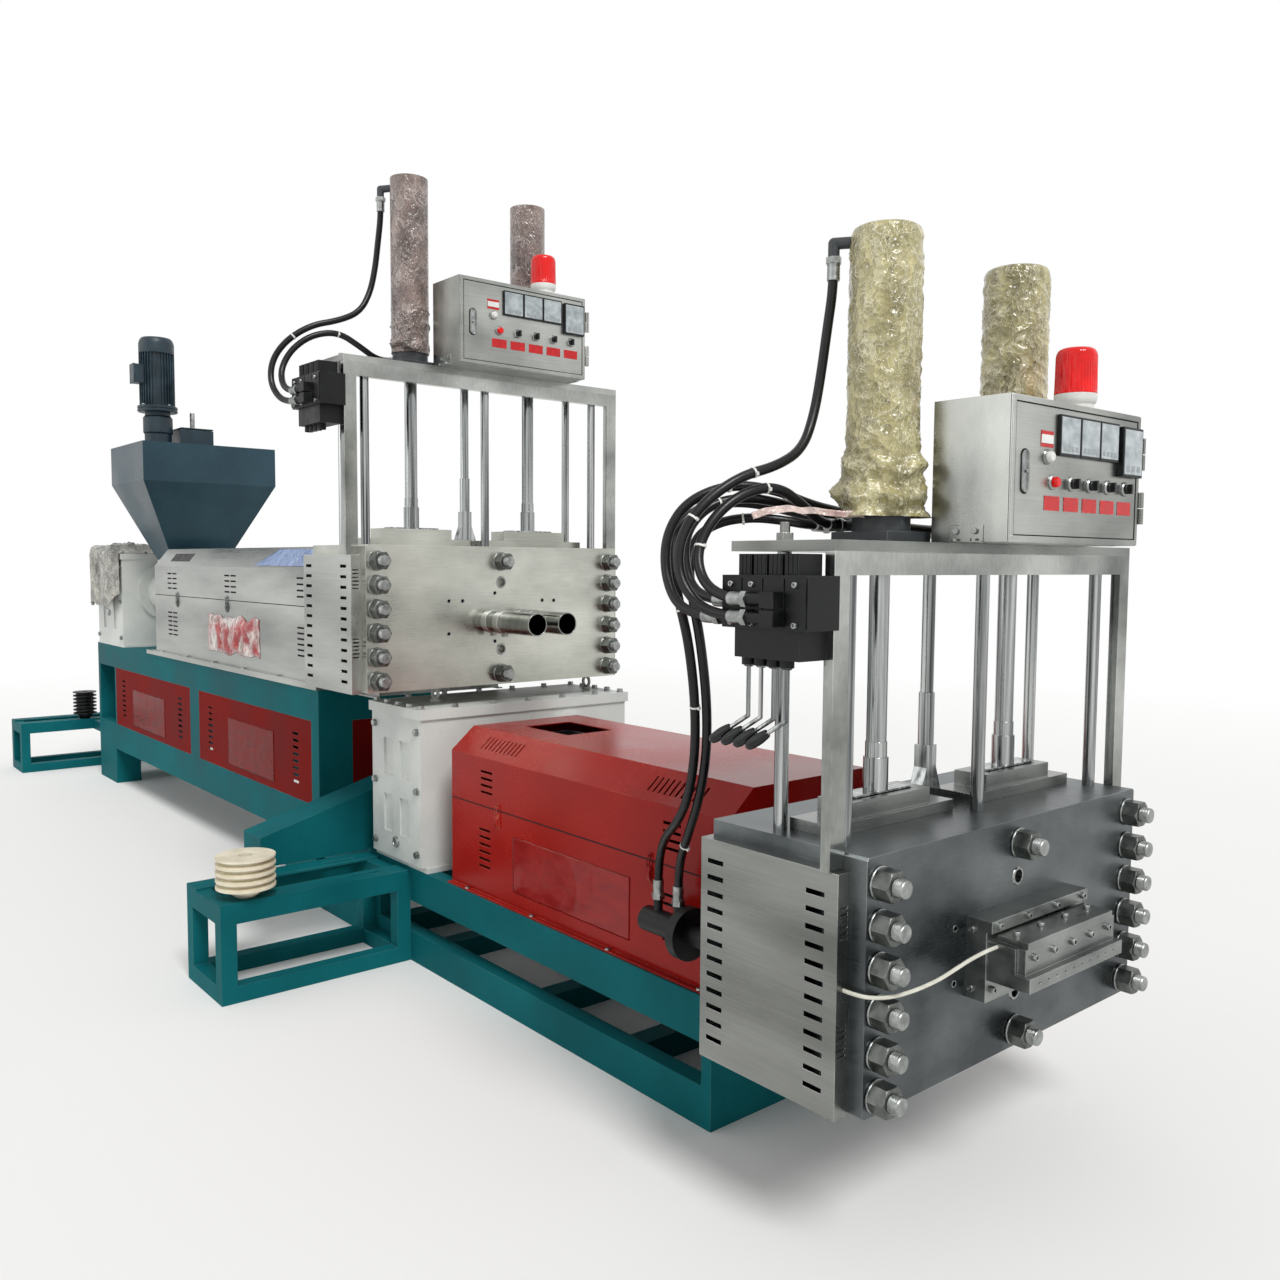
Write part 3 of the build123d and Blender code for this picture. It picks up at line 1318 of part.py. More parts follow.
def make_base_panels():
    """Vented sheet panels that fill the frame's long bays and its front end."""
    low, high = bay_heights()
    middle = (low + high) / 2
    with BuildPart() as panels:
        for bay in FRAME1_BAYS[1:]:
            for side in (-1, 1):
                y = side * FRAME1_HALF
                block(bay, (y - side * PANEL_SHEET, y), (low, high))
                for x in (bay[0] + PANEL_SLOT_INSET, bay[1] - PANEL_SLOT_INSET):
                    slot_row(
                        (x, y, middle),
                        (PANEL_SLOT[0], 4 * PANEL_SHEET, PANEL_SLOT[1]),
                        (0, 0, PANEL_SLOT_PITCH),
                        PANEL_SLOTS,
                    )
        end = FRAME1_HALF - FRAME1_END_POST
        block((FRAME1_X[1] - PANEL_SHEET, FRAME1_X[1]), (-end, end), (low, high))
    save(panels, "first_base_panels")


def make_gearbox_1():
    x, y, z = GEARBOX1_X, GEARBOX1_Y, GEARBOX1_Z
    with BuildPart() as gearbox:
        block(x, y, (z[0], z[1] - GEARBOX_LID))
        block(
            (x[0] - GEARBOX_LID_EDGE, x[1] + GEARBOX_LID_EDGE),
            (y[0] - GEARBOX_LID_EDGE, y[1] + GEARBOX_LID_EDGE),
            (z[1] - GEARBOX_LID, z[1]),
        )
        centre = (sum(x) / 2, y[0], (z[0] + z[1] - GEARBOX_LID) / 2)
        slot_row(centre, (POCKET1_SIZE[0], 2 * POCKET_DEPTH, POCKET1_SIZE[1]), (POCKET1_PITCH, 0, 0), 2)
        foot = (max(y[0], -FRAME1_HALF), FRAME1_HALF)
        block((x[0] - GEARBOX_LID_EDGE, x[1] + GEARBOX_LID_EDGE), foot, (FRAME1_TOP, z[0]))
        bar(SHAFT_RADIUS, (x[0], SHAFT1_Y, axis_z(FIRST)), (x[0] - SHAFT1_LENGTH, SHAFT1_Y, axis_z(FIRST)))
    save(gearbox, "first_gearbox")


def make_cover_tray():
    """Raised bright tray under the first cover."""
    with BuildPart() as tray:
        block(TRAY_X, (-TRAY_HALF, TRAY_HALF), (FRAME1_TOP, COVER1.base - FLANGE_HEIGHT))
    save(tray, "first_cover_tray")


def hopper_limits(inset, neck):
    """Centre and size of the hopper's cross-section at its mouth or its neck, moved inwards."""
    x, y = (HOPPER_NECK_X, HOPPER_NECK_Y) if neck else (HOPPER_X, HOPPER_Y)
    centre = ((x[0] + x[1]) / 2, (y[0] + y[1]) / 2)
    return centre, (x[1] - x[0] - 2 * inset, y[1] - y[0] - 2 * inset)


def make_hopper():
    """Sheet hopper: upright walls over an inverted pyramid, half covered by the feeder's deck."""
    with BuildPart() as hopper:
        block(HOPPER_X, HOPPER_Y, (HOPPER_KNEE, HOPPER_TOP))
        inside_x = (HOPPER_X[0] + HOPPER_SHEET, HOPPER_X[1] - HOPPER_SHEET)
        inside_y = (HOPPER_Y[0] + HOPPER_SHEET, HOPPER_Y[1] - HOPPER_SHEET)
        block(inside_x, inside_y, (HOPPER_KNEE, HOPPER_TOP - HOPPER_SHEET), mode=Mode.SUBTRACT)
        block(
            (inside_x[0] + HOPPER_RIM, inside_x[1] - HOPPER_RIM),
            (HOPPER_LID_Y, inside_y[1] - HOPPER_RIM),
            (HOPPER_TOP - HOPPER_SHEET, HOPPER_TOP),
            mode=Mode.SUBTRACT,
        )
        for inset, mode in ((0, Mode.ADD), (HOPPER_SHEET, Mode.SUBTRACT)):
            for level, neck in ((HOPPER_KNEE, False), (HOPPER_NECK_Z, True)):
                centre, size = hopper_limits(inset, neck)
                with BuildSketch(Plane.XY.offset(level)):
                    with Locations(centre):
                        Rectangle(*size)
            loft(mode=mode)
    save(hopper, "hopper")


def make_feeder():
    """Stirrer drive on the hopper's deck: gear head, upright motor and a small box with its pin."""
    x, y = FEEDER_CENTRE
    levels = [HOPPER_TOP + height for height in FEEDER_HEIGHTS]
    with BuildPart() as feeder:
        bar(FEEDER_BASE_RADIUS, (x, y, HOPPER_TOP), (x, y, levels[0]))
        bar(FEEDER_FLANGE_RADIUS, (x, y, levels[0]), (x, y, levels[1]))
        bar(FEEDER_MOTOR_RADIUS, (x, y, levels[1]), (x, y, levels[2]))
        bar(FEEDER_MOTOR_RADIUS - 10, (x, y, levels[2]), (x, y, levels[3]))
        half_x = FEEDER_BOX[0] / 2
        block(
            (x - half_x, x + half_x),
            (FEEDER_BOX_Y - FEEDER_BOX[1] / 2, FEEDER_BOX_Y + FEEDER_BOX[1] / 2),
            (HOPPER_TOP, HOPPER_TOP + FEEDER_BOX[2]),
        )
        pin_low = HOPPER_TOP + FEEDER_BOX[2]
        bar(FEEDER_PIN_RADIUS, (x, FEEDER_BOX_Y, pin_low), (x, FEEDER_BOX_Y, pin_low + FEEDER_PIN_HEIGHT))
    save(feeder, "hopper_feeder")


def make_outlet_pipes():
    """Two open pipes that drop the melt into the second stage's feed opening."""
    z = FIRST.block_z + OUTLET_RISE
    with BuildPart() as pipes:
        for side in (-1, 1):
            start = (FIRST.face_x, side * OUTLET_Y, z)
            end = (FIRST.face_x + OUTLET_LENGTH, side * OUTLET_Y, z)
            bar(OUTLET_RADIUS, start, end)
            bar(OUTLET_RADIUS - OUTLET_WALL, start, end, mode=Mode.SUBTRACT)
    save(pipes, "outlet_pipes")


def bend_radii(points):
    """The largest arc that the two runs at each corner leave room for."""
    radii = []
    for before, corner, after in zip(points, points[1:], points[2:]):
        arriving = Vector(*corner) - Vector(*before)
        leaving = Vector(*after) - Vector(*corner)
        half_turn = math.radians(arriving.get_angle(leaving)) / 2
        radii.append(BEND_SHARE * min(arriving.length, leaving.length) / math.tan(half_turn))
    return radii


def valve_port(stage, drop):
    """End of one of the two fittings on the valve block's near side."""
    x = stage.face_x - VALVE_PORT_BACK[0] - FITTING_LENGTH
    return (x, -BLOCK_HALF_WIDTH - PORTAL_TUBE - VALVE_DEPTH - VALVE_PORT_SIZE / 2, portal_top(stage) - drop)


def valve_rear_port(stage, port):
    """End of one of the two fittings on the valve block's rear face."""
    x = stage.face_x - VALVE_BACK[0] - REAR_FITTING_LENGTH
    return (x, -BLOCK_HALF_WIDTH - PORTAL_TUBE - VALVE_DEPTH + port[0], portal_top(stage) - port[1])


def led(start, away, length=HOSE_LEAD):
    """Point a straight lead away from a fitting's mouth."""
    return tuple(at + along * length for at, along in zip(start, away))


def routed(stage, offsets):
    """Points given behind the stage's face, across, and above its portal's top."""
    return [(stage.face_x - back, across, portal_top(stage) + rise) for back, across, rise in offsets]


def make_hoses():
    """Hydraulic hoses, as points behind the face, across, and above the portal's top."""
    backward = (-1, 0, 0)
    nearward = (0, -1, 0)
    up = (0, 0, 1)
    down = (0, 0, -1)
    low_loop = (
        (338, -767, -72),
        (372, -757, -4),
        (364, -716, 74),
        (342, -642, 134),
        (322, -545, 154),
        (320, -455, 110),
    )
    high_loop = (
        (342, -778, -124),
        (392, -792, -60),
        (404, -780, 28),
        (382, -730, 108),
        (350, -642, 172),
        (330, -540, 200),
        (334, -448, 246),
        (346, -396, 330),
        (346, -372, 432),
        (337, -362, 545),
    )
    for stage in STAGES:
        start = valve_port(stage, VALVE_PORT_DROPS[0])
        end = port_mouth(stage, -1, 0)
        loop = routed(stage, low_loop)
        make_hose(f"{stage.name}_hose_low", [start, led(start, backward)] + loop + [led(end, nearward), end])
        start = valve_port(stage, VALVE_PORT_DROPS[1])
        end = elbow_ends(stage)[2]
        loop = routed(stage, high_loop)
        make_hose(f"{stage.name}_hose_high", [start, led(start, backward)] + loop + [led(end, down), end])
    outer_loop = (
        (474, -726, -125),
        (520, -722, -45),
        (530, -706, 47),
        (506, -660, 123),
        (452, -572, 163),
        (402, -470, 153),
        (377, -370, 119),
        (372, -255, 104),
        (372, -130, 87),
        (372, 0, 72),
        (372, 150, 68),
    )
    inner_loop = (
        (456, -692, -87),
        (488, -690, -17),
        (490, -676, 55),
        (470, -622, 113),
        (434, -540, 133),
        (417, -440, 123),
        (414, -330, 103),
        (413, -200, 83),
        (414, -60, 71),
        (414, 110, 68),
    )
    motor_left = (
        (845, -442, -840),
        (795, -466, -780),
        (717, -500, -730),
        (640, -530, -650),
        (569, -570, -521),
        (516, -620, -373),
        (496, -662, -221),
        (518, -674, -125),
        (552, -670, -33),
        (570, -648, 55),
        (552, -580, 113),
        (502, -490, 127),
        (464, -390, 113),
        (456, -270, 91),
        (456, -140, 76),
        (457, 0, 70),
        (456, 130, 68),
    )
    motor_right = (
        (757, -445, -838),
        (692, -478, -757),
        (618, -511, -650),
        (547, -551, -521),
        (494, -601, -373),
        (474, -643, -221),
        (494, -650, -125),
        (526, -640, -37),
        (538, -604, 39),
        (508, -548, 76),
        (450, -492, 86),
        (398, -436, 78),
    )
    rear_starts = [valve_rear_port(SECOND, port) for port in VALVE_REAR_PORTS]
    motor_starts = [(x, MOTOR_AXIS[0], MOTOR_PORT_TOP) for x in MOTOR_PORTS_X]
    far_runs = (
        ("second_hose_far_outer", rear_starts[0], backward, outer_loop),
        ("second_hose_far_inner", rear_starts[1], backward, inner_loop),
        ("second_hose_motor_left", motor_starts[0], up, motor_left),
    )
    for number, (name, start, away, loop) in enumerate(far_runs):
        make_hose(name, [start, led(start, away)] + routed(SECOND, loop) + [port_mouth(SECOND, 1, number)])
    start = motor_starts[1]
    end = port_mouth(SECOND, -1, 1)
    loop = routed(SECOND, motor_right)
    make_hose("second_hose_motor_right", [start, led(start, up)] + loop + [led(end, nearward), end])


def make_heater_cable():
    """Sleeved heater cable from the side cover's front strip across the plate to the die head."""
    start = (SECOND.face_x - SIDE_COVER_BACK[1], CABLE_START[0], CABLE_START[1])
    end = (CABLE_END[0], -DIE_HEAD_HALF, CABLE_END[1])
    points = [start, led(start, (1, 0, 0), CABLE_LEAD)] + list(CABLE_POINTS) + [led(end, (0, -1, 0), CABLE_TAIL), end]
    make_hose("die_heater_cable", points, CABLE_RADIUS)


def make_hose(name, points, radius=HOSE_RADIUS):
    """A free hose: straight runs joined by arcs, between two fittings."""
    radii = bend_radii(points)
    with BuildPart() as hose:
        with BuildLine() as route:
            FilletPolyline(*points, radius=radii)
        with BuildSketch(Plane(origin=points[0], z_dir=Vector(*points[1]) - Vector(*points[0]))):
            Circle(radius)
        sweep()
    print(name, "length", round(sum(edge.length for edge in route.edges())), "radii", [round(value) for value in radii])
    save(hose, name)


for stage in STAGES:
    make_front_plate(stage)
    make_die_block(stage)
    make_control_door(stage)
    for side, word in ((-1, "near"), (1, "far")):
        make_slide(stage, side, word)
make_clamp_nuts()
make_side_covers()
make_gland_slabs()
make_tie_rods()
make_portal_frames()
make_top_plates()
make_cylinders()
make_cylinder_films()
make_control_boxes()
make_beacons()
make_valve_blocks()
for number in range(VALVE_CAPS):
    make_valve_lever(number)
make_base_frame_2()
make_motor_tables()
make_belt_guard()
make_gearbox_2()
make_barrels()
make_covers()
make_cover_latches()
make_strand_die()
make_hydraulic_motor()
make_pulleys()
make_base_frame_1()
make_base_panels()
make_gearbox_1()
make_cover_tray()
make_hopper()
make_feeder()
make_outlet_pipes()
make_hoses()
make_heater_cable()
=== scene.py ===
"""Looks of a two-stage plastic recycling extruder, built on its CAD frame.

Metres. +X is the way the plastic flows, +Y the far side, +Z up.
"""
import math
from collections import namedtuple

import bmesh
import bpy
import numpy as np
from mathutils import Euler, Matrix, Vector, noise


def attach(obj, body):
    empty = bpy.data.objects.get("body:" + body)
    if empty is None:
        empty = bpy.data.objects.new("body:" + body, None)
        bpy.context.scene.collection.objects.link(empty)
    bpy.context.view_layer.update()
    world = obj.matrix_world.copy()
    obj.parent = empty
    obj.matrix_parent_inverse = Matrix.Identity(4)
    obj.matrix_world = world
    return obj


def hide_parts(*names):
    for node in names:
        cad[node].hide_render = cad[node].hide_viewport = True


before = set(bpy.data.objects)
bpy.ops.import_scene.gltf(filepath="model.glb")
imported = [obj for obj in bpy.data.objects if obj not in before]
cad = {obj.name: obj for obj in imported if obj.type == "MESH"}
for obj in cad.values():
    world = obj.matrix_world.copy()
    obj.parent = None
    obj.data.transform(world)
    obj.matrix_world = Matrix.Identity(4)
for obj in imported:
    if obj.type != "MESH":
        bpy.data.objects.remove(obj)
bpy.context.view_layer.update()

# A stage's front plate face along x, the plate's foot and top, the portal's top, how far the control
# door stands before the face, and the radius of the film round its cylinders.
Stage = namedtuple("Stage", "name face low top portal door film")
FIRST = Stage("first", -1.650, 1.099, 1.660, 2.340, 0.072, 0.078)
SECOND = Stage("second", 0.702, 0.390, 0.970, 1.625, 0.088, 0.093)
STAGES = (FIRST, SECOND)
# From here on along x, sheet and ground faces stand among darker things and look duller; their darker tones
# there are painted shade.
PAINTED_SHADE_FROM = -1.0
TOP_PLATE = 0.024
# The control boxes' near and far side, and their height above the top plate.
BOX_NEAR, BOX_FAR, BOX_HEIGHT = -0.230, 0.372, 0.332
# Cylinder axes behind the plate's face and off the middle, and the caps' top above the portal.
CYLINDER_BACK, CYLINDER_SIDE, CYLINDER_TOP = 0.225, 0.283, 0.765

# A barrel cover's half width, the height where its lid parts from it, its ends and its latches' places.
Cover = namedtuple("Cover", "lid half split rear front latches")
FIRST_COVER = Cover("first_cover_lid", 0.300, 1.379, -5.245, -2.140, (-4.800, -3.950))
SECOND_COVER = Cover("second_cover_lid", 0.344, 0.710, -1.460, 0.030, (-1.141, -0.302))
COVERS = (FIRST_COVER, SECOND_COVER)
PANEL_FACE = -0.307
# Ends, sides, foot and lid height of each gearbox.
GEARBOXES = (
    ((-2.020, -1.610), (-0.393, 0.623), 0.402, 1.025),
    ((-6.590, -5.970), (-0.307, 0.560), 1.006, 1.640),
)

BACKWARD, FORWARD, NEARWARD = (-1, 0, 0), (1, 0, 0), (0, -1, 0)
UP, DOWN = (0, 0, 1), (0, 0, -1)
# Turns that point an upright unit forward, to the near side and up.
FACING = {FORWARD: (0, math.pi / 2, 0), NEARWARD: (math.pi / 2, 0, 0), UP: (0, 0, 0)}


# Camera

def make_camera():
    """The photograph's own standing place, at a person's eye height."""
    place = (2.153, -2.452, 1.595)
    right = Vector((0.642889, 0.76593, 0.006647))
    down = Vector((0.057378, -0.039504, -0.997571))
    ahead = Vector((-0.763807, 0.641709, -0.069344))
    lens = bpy.data.cameras.new("camera")
    lens.sensor_width = 36
    lens.lens = 30.895
    camera = bpy.data.objects.new("camera", lens)
    turn = Matrix((right, -down, -ahead)).transposed().to_4x4()
    camera.matrix_world = Matrix.Translation(place) @ turn
    bpy.context.scene.collection.objects.link(camera)
    bpy.context.scene.camera = camera


# Nodes, colours and finishes

def linear(code):
    """Linear colour of an sRGB hex value."""
    values = [int(code[i:i + 2], 16) / 255 for i in (1, 3, 5)]
    return [v / 12.92 if v <= 0.04045 else ((v + 0.055) / 1.055) ** 2.4 for v in values] + [1.0]


def node(tree, kind, inputs=None, **settings):
    """Adds one node: its settings first, then its inputs as values or as sockets to link from."""
    made = tree.nodes.new(kind)
    for name, value in settings.items():
        setattr(made, name, value)
    for name, value in (inputs or {}).items():
        if isinstance(value, bpy.types.NodeSocket):
            tree.links.new(value, made.inputs[name])
        else:
            made.inputs[name].default_value = value
    return made


def blended(tree, share, below, above, mode="MIX"):
    """Colour below with the colour above laid over it by a share."""
    return node(
        tree, "ShaderNodeMix", {0: share, 6: below, 7: above}, data_type="RGBA", blend_type=mode
    ).outputs[2]


def scales(sizes):
    """Mapping scale for a pattern of one size in metres, or of one size each along x, y and z."""
    return [1 / size for size in (sizes if isinstance(sizes, tuple) else (sizes,) * 3)]


def surface(name, tones, patch, grain, rough, metallic=0.0, bump=0.0002, edge=None, rounding=0.002,
            spots=None, painted_shade_beyond=None, **sockets):
    """A finish with large patches of tone, a grain, rounded edges and wear on them.

    tones are two hex colours, patch and grain the sizes of a patch and of a grain in metres, rough
    the lowest and highest roughness, edge the colour that rubbed edges show, spots the colour, size
    and share of small marks, which on the filmed plates are painted highlights, and the last a place
    along x with the two darker tones past it, which are painted shade.
    """
    made = bpy.data.materials.new(name)
    made.use_nodes = True
    tree = made.node_tree
    shader = tree.nodes["Principled BSDF"]
    at = node(tree, "ShaderNodeTexCoord").outputs["Object"]
    spread = node(tree, "ShaderNodeMapping", {"Vector": at, "Scale": scales(patch)})
    cloud = node(
        tree, "ShaderNodeTexNoise",
        {"Vector": spread.outputs[0], "Scale": 1.0, "Detail": 5.0, "Roughness": 0.5}
    )
    share = node(
        tree, "ShaderNodeMapRange", {"Value": cloud.outputs[0], "From Min": 0.34, "From Max": 0.66}
    ).outputs[0]
    colour = blended(tree, share, linear(tones[0]), linear(tones[1]))
    # past that place along x the tones turn darker: painted shade
    if painted_shade_beyond:
        place = node(tree, "ShaderNodeSeparateXYZ", {"Vector": at}).outputs["X"]
        past = node(tree, "ShaderNodeMath", {0: place, 1: painted_shade_beyond[0]}, operation="GREATER_THAN").outputs[0]
        shaded_colour = blended(tree, share, linear(painted_shade_beyond[1][0]), linear(painted_shade_beyond[1][1]))
        colour = blended(tree, past, colour, shaded_colour)
    stretched = node(tree, "ShaderNodeMapping", {"Vector": at, "Scale": scales(grain)})
    fine = node(
        tree, "ShaderNodeTexNoise",
        {"Vector": stretched.outputs[0], "Scale": 1.0, "Detail": 3.0, "Roughness": 0.65}
    ).outputs[0]
    shade = node(
        tree, "ShaderNodeMapRange",
        {"Value": fine, "From Min": 0.3, "From Max": 0.7, "To Min": 0.9, "To Max": 1.06}
    )
    colour = blended(tree, 1.0, colour, shade.outputs[0], "MULTIPLY")
    if spots:
        cells = node(
            tree, "ShaderNodeTexNoise",
            {"Vector": at, "Scale": 1 / spots[1], "Detail": 8.0, "Roughness": 0.75}
        )
        spot_share = node(
            tree, "ShaderNodeMapRange",
            {"Value": cells.outputs[0], "From Min": 0.6, "From Max": 0.72, "To Max": spots[2]}
        )
        colour = blended(tree, spot_share.outputs[0], colour, linear(spots[0]))
    soft = node(tree, "ShaderNodeBevel", {"Radius": rounding}, samples=4)
    if edge:
        flat = node(tree, "ShaderNodeNewGeometry").outputs["Normal"]
        turned = node(tree, "ShaderNodeVectorMath", {0: flat, 1: soft.outputs[0]}, operation="DOT_PRODUCT")
        rubbed = node(
            tree, "ShaderNodeMapRange",
            {"Value": turned.outputs["Value"], "From Min": 0.985, "From Max": 0.93}
        )
        patchy = node(
            tree, "ShaderNodeMapRange",
            {"Value": cloud.outputs[0], "From Min": 0.42, "From Max": 0.6, "To Max": 0.8}
        )
        both = node(
            tree, "ShaderNodeMath", {0: rubbed.outputs[0], 1: patchy.outputs[0]}, operation="MULTIPLY"
        )
        colour = blended(tree, both.outputs[0], colour, linear(edge))
    tree.links.new(colour, shader.inputs["Base Color"])
    mixed = node(tree, "ShaderNodeMath", {0: share, 1: fine}, operation="ADD")
    worn = node(
        tree, "ShaderNodeMapRange",
        {
            "Value": mixed.outputs[0], "From Min": 0.4, "From Max": 1.4, "To Min": rough[0],
            "To Max": rough[1]
        },
    )
    tree.links.new(worn.outputs[0], shader.inputs["Roughness"])
    raised = node(
        tree, "ShaderNodeBump",
        {"Height": fine, "Distance": bump, "Strength": 0.6, "Normal": soft.outputs[0]}
    )
    tree.links.new(raised.outputs[0], shader.inputs["Normal"])
    shader.inputs["Metallic"].default_value = metallic
    for socket, value in sockets.items():
        shader.inputs[socket.replace("_", " ")].default_value = value
    return made


def packing_film(name, tones, painted_highlight_colour, facet_highlight_level=0.3, painted_highlight_strength=1.0):
    """Crinkled polyethylene film: facets of several tones in painted light and shade, painted highlights on
    the creases between them, and painted glints.

    Of the two numbers, the first is how pale the palest facets turn as painted highlight, and the second
    how strongly the painted crease highlights and glints show.
    """
    made = surface(
        name, tones, (0.09, 0.09, 0.16), (0.010, 0.010, 0.016), (0.10, 0.26), bump=0.0008, rounding=0.001,
        Coat_Weight=0.35, Coat_Roughness=0.06, IOR=1.5,
    )
    tree = made.node_tree
    shader = tree.nodes["Principled BSDF"]
    at = node(tree, "ShaderNodeTexCoord").outputs["Object"]
    warp = node(tree, "ShaderNodeTexNoise", {"Vector": at, "Scale": 16.0, "Detail": 3.0})
    pulled = blended(tree, 0.045, at, warp.outputs["Color"], "LINEAR_LIGHT")
    drawn = node(
        tree, "ShaderNodeMapping",
        {"Vector": pulled, "Rotation": (0.5, 0.3, 0.0), "Scale": (1.0, 1.0, 0.45)}
    )
    colour = shader.inputs["Base Color"].links[0].from_socket
    # facets of different brightness: painted light and shade
    facet = node(tree, "ShaderNodeTexVoronoi", {"Vector": drawn.outputs[0], "Scale": 62.0})
    pick = node(tree, "ShaderNodeSeparateColor", {"Color": facet.outputs["Color"]})
    tone = node(tree, "ShaderNodeMapRange", {"Value": pick.outputs[0], "To Min": 0.68, "To Max": 1.08})
    colour = blended(tree, 1.0, colour, tone.outputs[0], "MULTIPLY")
    # the palest facets turn paler still: painted highlight
    facet_highlight_share = node(
        tree, "ShaderNodeMapRange",
        {"Value": pick.outputs[1], "From Min": 0.86, "From Max": 0.97, "To Max": facet_highlight_level}
    )
    colour = blended(tree, facet_highlight_share.outputs[0], colour, linear(painted_highlight_colour))
    broken = node(
        tree, "ShaderNodeMapRange",
        {"Value": warp.outputs[0], "From Min": 0.4, "From Max": 0.6, "To Min": 0.15, "To Max": 0.75}
    )
    # pale lines along the creases: painted highlights
    for scale, width, strength in ((62.0, 0.05, 0.9), (170.0, 0.09, 0.7)):
        edge = node(
            tree, "ShaderNodeTexVoronoi", {"Vector": drawn.outputs[0], "Scale": scale},
            feature="DISTANCE_TO_EDGE"
        )
        line = node(
            tree, "ShaderNodeMapRange",
            {"Value": edge.outputs["Distance"], "From Max": width, "To Min": 1.0, "To Max": 0.0}
        )
        patchy = node(
            tree, "ShaderNodeMath", {0: line.outputs[0], 1: broken.outputs[0]}, operation="MULTIPLY"
        )
        painted_light_share = node(
            tree, "ShaderNodeMath", {0: patchy.outputs[0], 1: strength * painted_highlight_strength}, operation="MULTIPLY"
        )
        colour = blended(tree, painted_light_share.outputs[0], colour, linear(painted_highlight_colour))
    # small white specks: painted glints
    painted_glints = node(tree, "ShaderNodeTexNoise", {"Vector": at, "Scale": 210.0, "Detail": 1.0})
    spark = node(
        tree, "ShaderNodeMapRange",
        {"Value": painted_glints.outputs[0], "From Min": 0.70, "From Max": 0.76, "To Max": painted_highlight_strength}
    )
    colour = blended(tree, spark.outputs[0], colour, linear("#ffffff"))
    tree.links.new(colour, shader.inputs["Base Color"])
    folded = node(
        tree, "ShaderNodeBump", {"Height": facet.outputs["Distance"], "Distance": 0.006, "Strength": 0.8}
    )
    first = shader.inputs["Normal"].links[0].from_node
    tree.links.new(folded.outputs[0], first.inputs["Normal"])
    return made


